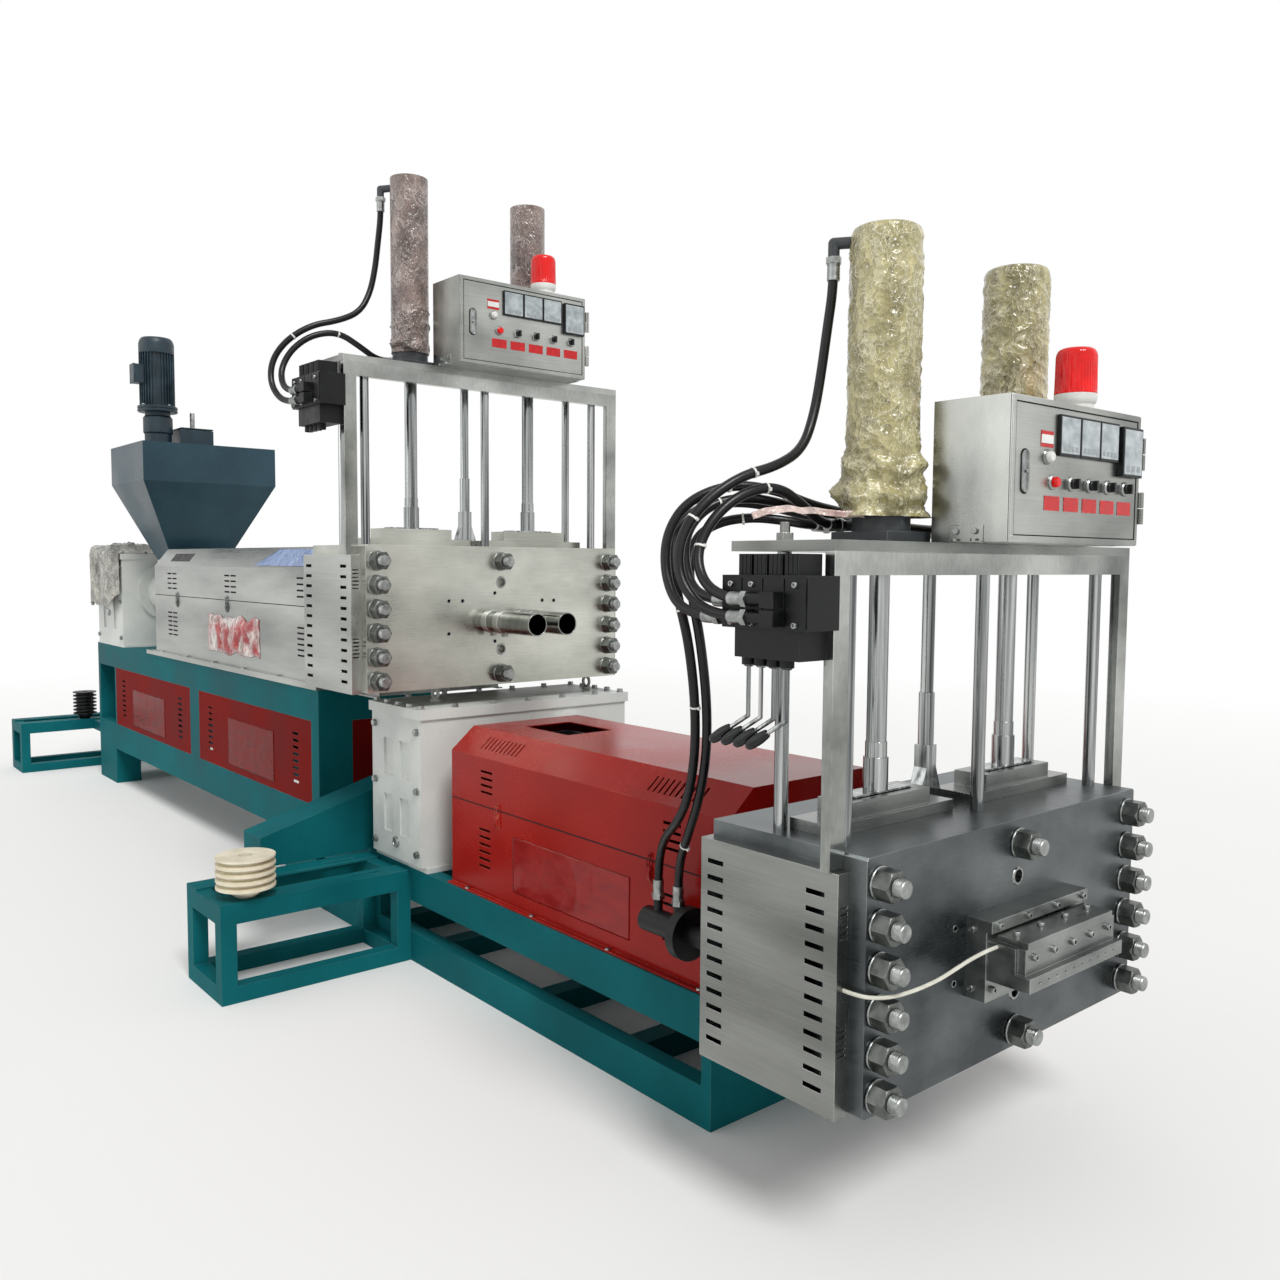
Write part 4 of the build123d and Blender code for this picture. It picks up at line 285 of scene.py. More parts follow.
def make_finishes():
    """Every finish by the name of what it is made of."""
    made = {}
    # Sprayed alkyd enamel on welded steel: slight orange peel, a soft gloss, worn pale at rubbed edges.
    made["teal enamel"] = surface(
        "teal enamel on welded steel", ("#0a545a", "#12696f"), 0.5, 0.006, (0.42, 0.58), bump=0.00012,
        edge="#6f8f8d", spots=("#4c7b78", 0.02, 0.2), Specular_IOR_Level=0.08, IOR=1.35,
    )
    # Stove enamel on sheet: an even deep red with a high gloss and hardly any orange peel.
    made["red enamel"] = surface(
        "red stove enamel on sheet steel", ("#8c0f08", "#a3180d"), 0.6, 0.008, (0.16, 0.3), bump=0.00006,
        edge="#c9705f", rounding=0.003, Specular_IOR_Level=0.25, IOR=1.4,
    )
    # Brushed alkyd enamel on the base panels: the same red, darker and nearly flat.
    made["red panel enamel"] = surface(
        "satin red enamel on sheet steel", ("#6c0c0a", "#7e1712"), 0.4, 0.006, (0.5, 0.65), bump=0.0001,
        edge="#b98377", Specular_IOR_Level=0.08, IOR=1.35,
    )
    # Sand casting under brushed-on enamel: a soft grainy skin with grey handling marks.
    made["off-white enamel"] = surface(
        "off-white enamel on cast iron", ("#c2c6c2", "#d9dbd6"), 0.35, 0.005, (0.32, 0.5), bump=0.0003,
        edge="#a5a8a4", spots=("#8d8f88", 0.05, 0.35),
    )
    # Rolled enamel on folded sheet: flat faces in a slate tone with small chips and pale rubbed folds.
    made["hopper enamel"] = surface(
        "blue-green enamel on folded sheet", ("#213b46", "#2d4955"), 0.45, 0.007, (0.24, 0.42),
        bump=0.00015, edge="#7f949a", spots=("#6c8083", 0.018, 0.3), Specular_IOR_Level=0.3,
    )
    # Dipped enamel on a ribbed aluminium casting: dark, half matt, worn pale on the rib tips.
    made["motor enamel"] = surface(
        "dark blue enamel on cast aluminium", ("#1b2b33", "#263a44"), 0.1, 0.004, (0.3, 0.5), bump=0.0003,
        edge="#76858a", Specular_IOR_Level=0.4,
    )
    # Number four stainless sheet: brushed along the sheet's length, which draws the light out in
    # streaks. These streaks and its clouds of paler and darker tone are painted reflection in its colour;
    # the streaks are drawn coarser than real so that they show.
    made["stainless sheet"] = surface(
        "brushed stainless steel sheet", ("#868885", "#b9bbb7"), (1.1, 0.3, 0.22), (0.25, 0.004, 0.003),
        (0.2, 0.36), metallic=1.0, bump=0.00001, edge="#e6e7e4",
        # past this place along x, darker tones as painted shade
        painted_shade_beyond=(PAINTED_SHADE_FROM, ("#70726f", "#9b9d99")),
    )
    # The same brushing, with its painted reflection, across the control boxes, where it runs from side to
    # side.
    made["box stainless"] = surface(
        "brushed stainless steel box sheet", ("#888a86", "#bfc1bc"), (0.16, 0.5, 0.35), (0.004, 0.2, 0.003),
        (0.2, 0.36), metallic=1.0, bump=0.00003, edge="#eeefec",
    )
    # Bright-drawn square tube, polished: soft clouds of tone painted in its colour as reflections of its
    # surroundings.
    made["stainless tube"] = surface(
        "polished stainless steel tube", ("#70736f", "#bcbeba"), (0.16, 0.4, 0.3), (0.01, 0.01, 0.03),
        (0.1, 0.22), metallic=1.0, bump=0.00001, edge="#ecece8", rounding=0.003,
    )
    # Surface grinding leaves a fine grain along the travel of the table; its cloudy reflections are painted
    # in its colour.
    made["ground stainless"] = surface(
        "surface-ground stainless steel", ("#a3a49b", "#d2d3ca"), (0.3, 0.42, 0.26), (0.003, 0.12, 0.004),
        (0.22, 0.38), metallic=1.0, bump=0.00005, edge="#eeeee8",
        # past this place along x, darker tones as painted shade
        painted_shade_beyond=(PAINTED_SHADE_FROM, ("#7f8280", "#a1a39f")),
    )
    # Tool steel, milled and rubbed with oil: dull grey with darker clouds and bright rubbed edges.
    made["tool steel"] = surface(
        "oiled milled tool steel", ("#42474a", "#7a7f80"), (0.3, 0.42, 0.3), (0.05, 0.05, 0.006),
        (0.24, 0.44), metallic=1.0, bump=0.0001, edge="#b9bbb8", spots=("#2f3436", 0.03, 0.35),
    )
    # Tool steel fresh from the grinder: brighter than the oiled blocks, with small dark stains.
    made["die steel"] = surface(
        "freshly ground die steel", ("#6d7170", "#9b9e9b"), (0.1, 0.2, 0.08), (0.004, 0.06, 0.004),
        (0.22, 0.4), metallic=1.0, bump=0.00008, edge="#d3d5d2", spots=("#3c4041", 0.025, 0.4),
    )
    # Hard chrome on round rods: narrow dark and light streaks along the rod, which are painted reflections.
    made["hard chrome"] = surface(
        "hard chrome on ground steel", ("#5f6263", "#c2c5c4"), (0.012, 0.012, 0.7), (0.003, 0.003, 0.05),
        (0.08, 0.2), metallic=1.0, bump=0.00002, edge="#e6e6e4", rounding=0.001,
    )
    # Bright zinc on small parts: an even grey with a fine crystalline speckle.
    made["zinc plate"] = surface(
        "zinc-plated steel", ("#858886", "#abaeac"), 0.02, 0.003, (0.26, 0.42), metallic=1.0, bump=0.0001,
        edge="#d8dad8", rounding=0.0008,
    )
    # Hot-forged nuts, oiled: a dark skin with bright corners where a spanner has turned them.
    made["nut steel"] = surface(
        "forged nut steel, lightly oiled", ("#535653", "#777a76"), 0.03, 0.003, (0.28, 0.45), metallic=1.0,
        bump=0.00015, edge="#c4c6c2", rounding=0.0012,
    )
    # Air-dried paint on drawn tube: dark and even, with a slight orange peel.
    made["grey paint"] = surface(
        "dark grey paint on steel tube", ("#34373a", "#43474a"), 0.1, 0.005, (0.35, 0.5), edge="#8a8d8a",
        Specular_IOR_Level=0.4,
    )
    # Paint over a sand casting: near black, with the sand showing as a coarse grain.
    made["black casting"] = surface(
        "black paint on cast iron", ("#050606", "#101112"), 0.05, 0.003, (0.32, 0.5), bump=0.0004,
        edge="#4d5154", rounding=0.0015, Specular_IOR_Level=0.3,
    )
    # Oil hose rubber: black, faintly wrapped along its length, with a waxy shine.
    made["hose rubber"] = surface(
        "wrapped nitrile hose rubber", ("#050506", "#0e0f11"), 0.06, 0.004, (0.24, 0.38), bump=0.0002,
        rounding=0.0005, Specular_IOR_Level=0.35,
    )
    # Woven glass-fibre sleeve: cream and dull, its weave seen as a grain of 1.5 mm, which is coarser
    # than the real strands.
    made["braided sleeve"] = surface(
        "braided glass-fibre sleeve", ("#c9c8ba", "#dedccf"), 0.03, 0.0015, (0.6, 0.8), bump=0.0004,
        rounding=0.0005,
    )
    # Pressed phenolic: deep black with a hard polish.
    made["grip plastic"] = surface(
        "moulded phenolic grip", ("#060708", "#101214"), 0.03, 0.002, (0.18, 0.3), bump=0.0001,
        Specular_IOR_Level=0.4,
    )
    # Injection-moulded ABS with a fine spark-eroded texture, half matt.
    made["black plastic"] = surface(
        "moulded black ABS", ("#0b0d0f", "#15181b"), 0.02, 0.0008, (0.35, 0.5), bump=0.0001, rounding=0.001,
        Specular_IOR_Level=0.35,
    )
    # Cast acrylic over a pale display: a hard wet gloss, and cloudy reflections painted in its colour.
    made["meter window"] = surface(
        "pale acrylic window", ("#8d989c", "#b9c1c3"), (0.04, 0.04, 0.03), 0.02, (0.05, 0.12), bump=0.00002,
        Coat_Weight=0.5, Coat_Roughness=0.03,
    )
    # Moulded silicone rubber: a flat mid grey.
    made["grey key"] = surface(
        "grey rubber key", ("#8f9597", "#a4a9aa"), 0.01, 0.001, (0.5, 0.6)
    )
    # Anodised aluminium plate, fine-brushed: an even half-matt red with pale edges.
    made["red label"] = surface(
        "red anodised aluminium plate", ("#b5090e", "#cb151a"), 0.02, (0.02, 0.02, 0.001), (0.3, 0.42),
        edge="#e0b0a8",
    )
    # Clear red acrylic: a saturated body colour under a hard, very smooth skin.
    made["red lens"] = surface(
        "red acrylic lamp lens", ("#d80605", "#f0100c"), 0.06, 0.01, (0.08, 0.16), bump=0.00003,
        Specular_IOR_Level=0.4,
    )
    # Injection-moulded ABS: clean white with a faint texture.
    made["white plastic"] = surface(
        "white ABS", ("#dfe0dc", "#ecece8"), 0.04, 0.001, (0.3, 0.42), bump=0.00008
    )
    # Moulded nylon: an even white with a waxy half gloss.
    made["white nylon"] = surface(
        "white nylon", ("#e6e6e0", "#f2f2ee"), 0.01, 0.001, (0.3, 0.4)
    )
    # Primer sprayed on turned iron: chalky cream with grey handling marks and bare rims.
    made["ivory primer"] = surface(
        "ivory primer on turned cast iron", ("#d8cfb4", "#ebe4cf"), 0.05, 0.003, (0.4, 0.6), bump=0.0002,
        edge="#8d8a80", rounding=0.0015, spots=("#8f8876", 0.012, 0.4),
    )
    # Closed-cell sponge: a matt black line.
    made["seal rubber"] = surface(
        "black sponge rubber seal", ("#0a0a0a", "#151515"), 0.02, 0.002, (0.7, 0.9), Specular_IOR_Level=0.3,
    )
    # Painted shade: a near black laid where the inside of a slot or hole lies in shade.
    made["hollow"] = surface(
        "unlit hollow", ("#050505", "#0a0a0a"), 0.02, 0.004, (0.7, 0.9), Specular_IOR_Level=0.2
    )
    # Blown polyethylene film, wound loosely and aged: facets of painted light and shade, painted highlights
    # along its creases and painted glints.
    made["yellowed film"] = packing_film(
        "yellowed crinkled polyethylene film", ("#827a4c", "#c2b883"), "#f3eed2"
    )
    # The same film close over a dark barrel: brown shows through, its darker tones are partly painted shade
    # for the little light behind it, and the creases are duller.
    made["dark film"] = packing_film(
        "crinkled polyethylene film over a brown barrel", ("#4f3f3a", "#86716a"), "#d6c9c2"
    )
    # The same film heaped on the gearbox: darker grey tones as painted shade, and near white painted
    # highlights along its folds.
    made["grey film"] = packing_film("dusty crinkled polyethylene film", ("#45443d", "#a9a79b"), "#f4f3ec")
    # Stretch film, wound tight: faintly pink and milky, with weaker painted highlights on its creases.
    made["rose film"] = packing_film(
        "rose-tinted stretch film", ("#c39a92", "#e6d3cc"), "#f7efeb", painted_highlight_strength=0.4
    )
    # Protective film stuck flat on sheet: an even pale blue with hardly a crease or a painted highlight.
    made["blue film"] = packing_film(
        "pale blue protective film", ("#6d8cc2", "#98b0dc"), "#dfe8f6", facet_highlight_level=0.05, painted_highlight_strength=0.05
    )
    # A plate under clear film: an even colour below a wet gloss, with pale marks painted as highlights
    # where the film lifts.
    made["filmed red plate"] = surface(
        "red plate under clear film", ("#86100d", "#981b16"), (0.12, 0.05, 0.04), (0.03, 0.03, 0.012),
        (0.12, 0.22), bump=0.0003, spots=("#b06a60", 0.07, 0.15), Specular_IOR_Level=0.3,
    )
    # The same over the base panels, with less gloss and fainter painted highlights.
    made["filmed panel plate"] = surface(
        "satin red plate under clear film", ("#6a100d", "#7c1b17"), (0.12, 0.05, 0.04), (0.03, 0.03, 0.012),
        (0.22, 0.36), bump=0.0001, spots=("#96433c", 0.07, 0.12), Specular_IOR_Level=0.12, IOR=1.35,
    )
    made["torn film"] = torn_film_finish()
    return made


def torn_film_finish():
    """Clear film over a red card, in tall folds whose bright and dark bands are painted reflection; the
    card shows between the folds.
    """
    made = surface(
        "crumpled clear film over a red card", ("#8d0f12", "#ab1a1c"), 0.1, (0.008, 0.008, 0.02),
        (0.08, 0.2), bump=0.0006, Coat_Weight=0.5, Coat_Roughness=0.05,
    )
    tree = made.node_tree
    shader = tree.nodes["Principled BSDF"]
    at = node(tree, "ShaderNodeTexCoord").outputs["Object"]
    colour = shader.inputs["Base Color"].links[0].from_socket
    # bunches of folds about 120 mm across, and painted bright and dark reflection bands about 17 mm wide
    # inside them
    drawn = node(
        tree, "ShaderNodeMapping", {"Vector": at, "Rotation": (0.0, 0.9, 0.0), "Scale": (9.0, 1.0, 7.0)}
    )
    fold = node(
        tree, "ShaderNodeTexNoise",
        {"Vector": drawn.outputs[0], "Scale": 1.0, "Detail": 5.0, "Roughness": 0.65}
    )
    painted_light_share = node(
        tree, "ShaderNodeMapRange",
        {"Value": fold.outputs[0], "From Min": 0.44, "From Max": 0.60, "To Max": 0.85}
    )
    drawn = node(
        tree, "ShaderNodeMapping", {"Vector": at, "Rotation": (0.0, 0.7, 0.0), "Scale": (60.0, 1.0, 22.0)}
    )
    band = node(tree, "ShaderNodeTexNoise", {"Vector": drawn.outputs[0], "Scale": 1.0, "Detail": 3.0})
    level = node(tree, "ShaderNodeMapRange", {"Value": band.outputs[0], "From Min": 0.35, "From Max": 0.62})
    # pale and grey bands: painted reflection of the clear film
    painted_reflection = blended(tree, level.outputs[0], linear("#7d7a74"), linear("#f4f2ec"))
    tree.links.new(blended(tree, painted_light_share.outputs[0], colour, painted_reflection), shader.inputs["Base Color"])
    return made


# Shapes

def circle(radius, height, sides):
    """Points of a level circle, anticlockwise seen from above."""
    angles = [2 * math.pi * i / sides for i in range(sides)]
    return [(radius * math.cos(a), radius * math.sin(a), height) for a in angles]


class Shape:
    """Points and faces gathered for one piece."""

    def __init__(self):
        self.points = []
        self.faces = []

    def rings(self, rings, place=Matrix(), ends=(True, True), closed=True):
        """Joins rings of points, anticlockwise seen from where they go, into a skin."""
        first = len(self.points)
        count = len(rings[0])
        for ring in rings:
            self.points += [place @ Vector(point) for point in ring]
        for level in range(len(rings) - 1):
            start = first + level * count
            for i in range(count if closed else count - 1):
                j = (i + 1) % count
                self.faces.append((start + i, start + j, start + count + j, start + count + i))
        if ends[0]:
            self.faces.append(tuple(range(first + count - 1, first - 1, -1)))
        if ends[1]:
            last = first + (len(rings) - 1) * count
            self.faces.append(tuple(range(last, last + count)))
        return self

    def turned(self, profile, place=Matrix(), sides=32, ends=(True, True)):
        """A turned body from (radius, height) pairs along the place's own Z."""
        return self.rings([circle(r, h, sides) for r, h in profile], place, ends)

    def slab(self, low, high, place=Matrix()):
        """A straight block between two corners."""
        (x0, y0, z0), (x1, y1, z1) = low, high
        ring = [(x0, y0), (x1, y0), (x1, y1), (x0, y1)]
        return self.rings([[(x, y, z) for x, y in ring] for z in (z0, z1)], place)

    def nut(self, flats, height, place=Matrix(), bore=0.0):
        """A hexagon nut with its corners turned off at the top."""
        sides = 48
        corner = flats / 2 / math.cos(math.pi / 6)
        depth = (corner - flats / 2) / math.sqrt(3)
        rings = []
        for h in (0, height - depth, height - depth * 0.6, height - depth * 0.25, height):
            limit = flats / 2 + (height - h) * math.sqrt(3) * 0.98
            ring = []
            for i in range(sides):
                a = 2 * math.pi * i / sides
                wedge = (a + math.pi / 6) % (math.pi / 3) - math.pi / 6
                r = min(flats / 2 / math.cos(wedge), limit)
                ring.append((r * math.cos(a), r * math.sin(a), h))
            rings.append(ring)
        if bore:
            rings += [circle(bore, h, sides) for h in (height, height - depth)]
        return self.rings(rings, place)

    def piece(self, name, finish, body, slot=None, bevel=0.0, crisp=35, thickness=0.0):
        """The finished piece, riding on its body."""
        mesh = bpy.data.meshes.new(name)
        mesh.from_pydata([tuple(point) for point in self.points], [], self.faces)
        work = bmesh.new()
        work.from_mesh(mesh)
        bmesh.ops.remove_doubles(work, verts=work.verts, dist=1e-6)
        bmesh.ops.recalc_face_normals(work, faces=work.faces)
        work.to_mesh(mesh)
        work.free()
        mesh.polygons.foreach_set("use_smooth", [True] * len(mesh.polygons))
        mesh.set_sharp_from_angle(angle=math.radians(crisp))
        mesh.materials.append(finish)
        made = bpy.data.objects.new(name, mesh)
        bpy.context.scene.collection.objects.link(made)
        if thickness:
            wall = made.modifiers.new("thickness", "SOLIDIFY")
            wall.thickness = thickness
            wall.offset = 0
        if bevel:
            round_over = made.modifiers.new("rounded edges", "BEVEL")
            round_over.width = bevel
            round_over.segments = 2
            round_over.limit_method = "ANGLE"
            round_over.angle_limit = math.radians(30)
        if body:
            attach(made, body)
        return made


def facing(at, direction):
    """Matrix that puts an upright shape at a point, along a direction."""
    turn = Vector(UP).rotation_difference(Vector(direction).normalized()).to_matrix().to_4x4()
    return Matrix.Translation(at) @ turn


def repeating_tree():
    """Geometry nodes that set a unit on every point, turned by the point's own angles."""
    tree = bpy.data.node_groups.new("unit on points", "GeometryNodeTree")
    keys = {}
    for label, kind in (
        ("Points", "NodeSocketGeometry"),
        ("Unit", "NodeSocketObject"),
        ("Size", "NodeSocketFloat"),
        ("Finish", "NodeSocketMaterial"),
    ):
        keys[label] = tree.interface.new_socket(name=label, in_out="INPUT", socket_type=kind).identifier
    tree.interface.new_socket(name="Result", in_out="OUTPUT", socket_type="NodeSocketGeometry")
    given = node(tree, "NodeGroupInput").outputs
    angles = node(tree, "GeometryNodeInputNamedAttribute", {"Name": "turn"}, data_type="FLOAT_VECTOR")
    turn = node(tree, "FunctionNodeEulerToRotation", {0: angles.outputs[0]})
    unit = node(tree, "GeometryNodeObjectInfo", {"Object": given["Unit"]})
    placed = node(
        tree, "GeometryNodeInstanceOnPoints",
        {
            "Points": given["Points"], "Instance": unit.outputs["Geometry"], "Rotation": turn.outputs[0],
            "Scale": given["Size"]
        },
    )
    real = node(tree, "GeometryNodeRealizeInstances", {"Geometry": placed.outputs[0]})
    coated = node(
        tree, "GeometryNodeSetMaterial", {"Geometry": real.outputs[0], "Material": given["Finish"]}
    )
    node(tree, "NodeGroupOutput", {0: coated.outputs[0]})
    return tree, keys


def repeated(name, unit, places, finish, body, size=1.0):
    """One piece of many equal units: places are points with their angles."""
    tree, keys = REPEATING
    mesh = bpy.data.meshes.new(name)
    mesh.from_pydata([tuple(point) for point, _ in places], [], [])
    turns = mesh.attributes.new("turn", "FLOAT_VECTOR", "POINT")
    turns.data.foreach_set("vector", np.array([tuple(angles) for _, angles in places], np.float32).ravel())
    made = bpy.data.objects.new(name, mesh)
    bpy.context.scene.collection.objects.link(made)
    pattern = unit.piece(name + "_unit", finish, None)
    modifier = made.modifiers.new("units", "NODES")
    modifier.node_group = tree
    modifier[keys["Unit"]] = pattern
    modifier[keys["Size"]] = size
    modifier[keys["Finish"]] = finish
    bpy.context.view_layer.update()
    ready = made.evaluated_get(bpy.context.evaluated_depsgraph_get())
    result = bpy.data.meshes.new_from_object(ready)
    made.modifiers.clear()
    made.data = result
    if not result.materials:
        result.materials.append(finish)
    bpy.data.objects.remove(pattern)
    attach(made, body)
    return made


# Hoses and cable

def routed(stage, loop):
    """Points given in millimetres behind the stage's face, across, and above its portal's top."""
    return [
        (stage.face - back / 1000, across / 1000, stage.portal + rise / 1000) for back, across, rise in loop
    ]


def led(start, away, length=0.060):
    """Point a straight lead away from a fitting's mouth."""
    return tuple(at + along * length for at, along in zip(start, away))


def hose_routes():
    """Name, points and length of each hose, from fitting to fitting."""
    low_loop = (
        (338, -767, -72), (372, -757, -4), (364, -716, 74), (342, -642, 134), (322, -545, 154),
        (320, -455, 110)
    )
    high_loop = (
        (342, -778, -124), (392, -792, -60), (404, -780, 28), (382, -730, 108), (350, -642, 172),
        (330, -540, 200), (334, -448, 246), (346, -396, 330), (346, -372, 432), (337, -362, 545),
    )
    routes = []
    for stage in STAGES:
        start = (stage.face - 0.212, -0.762, stage.portal - 0.104)
        end = (stage.face - 0.330, -0.315, stage.portal + 0.068)
        points = [start, led(start, BACKWARD)] + routed(stage, low_loop) + [led(end, NEARWARD), end]
        routes.append((stage.name + "_hose_low", points, 0.735))
        start = (stage.face - 0.212, -0.762, stage.portal - 0.143)
        reach = 0.125
        angle = math.radians(215)
        end = (
            stage.face - CYLINDER_BACK + reach * math.cos(angle),
            -CYLINDER_SIDE + reach * math.sin(angle),
            stage.portal + CYLINDER_TOP - 0.022 - 0.045,
        )
        points = [start, led(start, BACKWARD)] + routed(stage, high_loop) + [led(end, DOWN), end]
        routes.append((stage.name + "_hose_high", points, 1.186))
    outer_loop = (
        (474, -726, -125), (520, -722, -45), (530, -706, 47), (506, -660, 123), (452, -572, 163),
        (402, -470, 153), (377, -370, 119), (372, -255, 104), (372, -130, 87), (372, 0, 72), (372, 150, 68),
        (372, 251, 68),
    )
    inner_loop = (
        (456, -692, -87), (488, -690, -17), (490, -676, 55), (470, -622, 113), (434, -540, 133),
        (417, -440, 123), (414, -330, 103), (413, -200, 83), (414, -60, 71), (414, 110, 68), (414, 251, 68),
    )
    motor_left = (
        (845, -442, -840), (795, -466, -780), (717, -500, -730), (640, -530, -650), (569, -570, -521),
        (516, -620, -373), (496, -662, -221), (518, -674, -125), (552, -670, -33), (570, -648, 55),
        (552, -580, 113), (502, -490, 127), (464, -390, 113), (456, -270, 91), (456, -140, 76),
        (457, 0, 70), (456, 130, 68), (456, 251, 68),
    )
    motor_right = (
        (757, -445, -838), (692, -478, -757), (618, -511, -650), (547, -551, -521), (494, -601, -373),
        (474, -643, -221), (494, -650, -125), (526, -640, -37), (538, -604, 39), (508, -548, 76),
        (450, -492, 86), (398, -436, 78),
    )
    starts = (
        ((0.364, -0.720, 1.477), BACKWARD, outer_loop, "second_hose_far_outer", 1.362),
        ((0.364, -0.685, 1.513), BACKWARD, inner_loop, "second_hose_far_inner", 1.234),
        ((-0.165, -0.430, 0.655), UP, motor_left, "second_hose_motor_left", 2.130),
    )
    for start, away, loop, name, length in starts:
        routes.append((name, [start, led(start, away)] + routed(SECOND, loop), length))
    start = (-0.080, -0.430, 0.655)
    end = (0.330, -0.315, 1.693)
    points = [start, led(start, UP)] + routed(SECOND, motor_right) + [led(end, NEARWARD), end]
    routes.append(("second_hose_motor_right", points, 1.482))
    return routes


def heater_cable_points():
    """The sleeved heater cable's way from the side cover across the plate to the die head."""
    start = (0.657, -0.611, 0.672)
    end = (0.781, -0.214, 0.714)
    between = (
        (724, -596, 672), (744, -560, 671), (752, -512, 671), (755, -460, 672), (759, -408, 677),
        (764, -360, 688), (771, -312, 702), (779, -266, 712),
    )
    points = [tuple(value / 1000 for value in point) for point in between]
    return [start, led(start, FORWARD, 0.035)] + points + [led(end, NEARWARD, 0.026), end]


def free_cord(name, points, radius, finish):
    """A smooth line on its control points, with a round section."""
    curve = bpy.data.curves.new(name + "_line", "CURVE")
    curve.dimensions = "3D"
    curve.resolution_u = 10
    curve.bevel_depth = radius
    curve.bevel_resolution = 6
    curve.use_fill_caps = True
    spline = curve.splines.new("NURBS")
    spline.points.add(len(points) - 1)
    for knot, point in zip(spline.points, points):
        knot.co = (*point, 1)
    spline.order_u = 3
    spline.use_endpoint_u = True
    curve.materials.append(finish)
    made = bpy.data.objects.new(name + "_line", curve)
    bpy.context.scene.collection.objects.link(made)
    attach(made, "frame")
    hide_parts(name)
    return made


def centreline(cord):
    """The points of a cord's own smooth line."""
    bare = cord.data.copy()
    bare.bevel_depth = 0
    thread = bpy.data.objects.new("thread", bare)
    bpy.context.scene.collection.objects.link(thread)
    bpy.context.view_layer.update()
    mesh = bpy.data.meshes.new_from_object(thread.evaluated_get(bpy.context.evaluated_depsgraph_get()))
    points = [vertex.co.copy() for vertex in mesh.vertices]
    bpy.data.objects.remove(thread)
    return points


def along(points, share):
    """Point and direction at a share of a line's length."""
    steps = [(b - a).length for a, b in zip(points, points[1:])]
    left = share * sum(steps)
    for a, b, step in zip(points, points[1:], steps):
        if left <= step:
            return a.lerp(b, left / step), (b - a).normalized()
        left -= step
    return points[-1], (points[-1] - points[-2]).normalized()


# A crimped sleeve's profile: a collar, nine grooves and a lip.
CRIMP = [(0.0122, 0.0), (0.0160, 0.0), (0.0160, 0.005)] + [
    (0.0160 - 0.0011 * (number % 2), 0.008 + 0.0035 * number) for number in range(9)
] + [(0.0155, 0.040), (0.0155, 0.043), (0.0122, 0.044)]
# Where each hose's ties are, as shares of its length.
TIES = {
    "second_hose_low": (0.30, 0.62),
    "second_hose_high": (0.30, 0.46),
    "second_hose_far_outer": (0.376, 0.488),
    "second_hose_far_inner": (0.30,),
    "second_hose_motor_left": (0.345, 0.461),
    "second_hose_motor_right": (0.131, 0.846),
    "first_hose_low": (0.665,),
    "first_hose_high": (0.357,),
}


def make_hoses():
    """Hydraulic hoses with crimped ends, screwed fittings and white ties, and the heater cable."""
    radius = 0.012
    for name, points, length in hose_routes():
        cord = free_cord(name, points, radius, finish["hose rubber"])
        line = centreline(cord)
        ends, ties = Shape(), Shape()
        for at, towards in ((points[0], points[1]), (points[-1], points[-2])):
            away = Vector(towards) - Vector(at)
            ends.turned(CRIMP, facing(at, away), 28)
            ends.nut(0.034, 0.016, facing(Vector(at) - away.normalized() * 0.012, away), radius)
        for share in TIES[name]:
            at, direction = along(line, share)
            place = facing(at - direction * 0.0025, direction)
            ties.turned([(0.0121, 0), (0.0134, 0), (0.0134, 0.005), (0.0121, 0.005)], place, 24)
            ties.slab((0.0125, -0.004, -0.0008), (0.0185, 0.004, 0.0058), place)
        pieces = [
            ends.piece(name + "_ends", finish["zinc plate"], "frame", "chrome_rod"),
            ties.piece(name + "_ties", finish["white nylon"], "frame", "stainless"),
        ]
    points = heater_cable_points()
    cable = free_cord("die_heater_cable", points, 0.0045, finish["braided sleeve"])


# Die heads

def nut_heights(stage):
    """Heights of the six nuts down each side of a front plate."""
    low, high = stage.low + 0.045, stage.top - 0.060
    return [low + (high - low) * number / 5 for number in range(6)]


def make_clamp_nuts():
    """Nuts, washers and threaded stud ends on both front plates."""
    places = []
    for stage in STAGES:
        heights = nut_heights(stage)
        spots = [
            (side * 0.551, z) for side in (-1, 1) for z in heights
        ] + [(0, heights[0]), (0, heights[-1])]
        places += [((stage.face, y, z), FACING[FORWARD]) for y, z in spots]
    washer = Shape().turned(
        [(0.021, 0), (0.036, 0), (0.038, 0.002), (0.038, 0.0045), (0.0365, 0.006), (0.021, 0.006)], sides=40
    )
    body = Shape().nut(0.065, 0.042, Matrix.Translation((0, 0, 0.006)), 0.022)
    thread = [(0.0202 + 0.0009 * (number % 2), 0.040 + number * 0.0016) for number in range(18)]
    stud = Shape().turned(
        [(0.021, 0.006)] + thread + [(0.0205, 0.070), (0.0185, 0.072), (0.0, 0.072)], sides=28
    )
    nuts = repeated("clamp_nut_bodies", body, places, finish["nut steel"], "frame")
    repeated("clamp_nut_washers", washer, places, finish["zinc plate"], "frame")
    repeated("clamp_stud_ends", stud, places, finish["zinc plate"], "frame")
    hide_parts("clamp_nuts")


FIRST_HOLES = (
    (-0.030, 1.472), (-0.030, 1.276), (-0.243, 1.443), (-0.181, 1.442), (-0.244, 1.313), (0.204, 1.439),
    (0.263, 1.438),
)


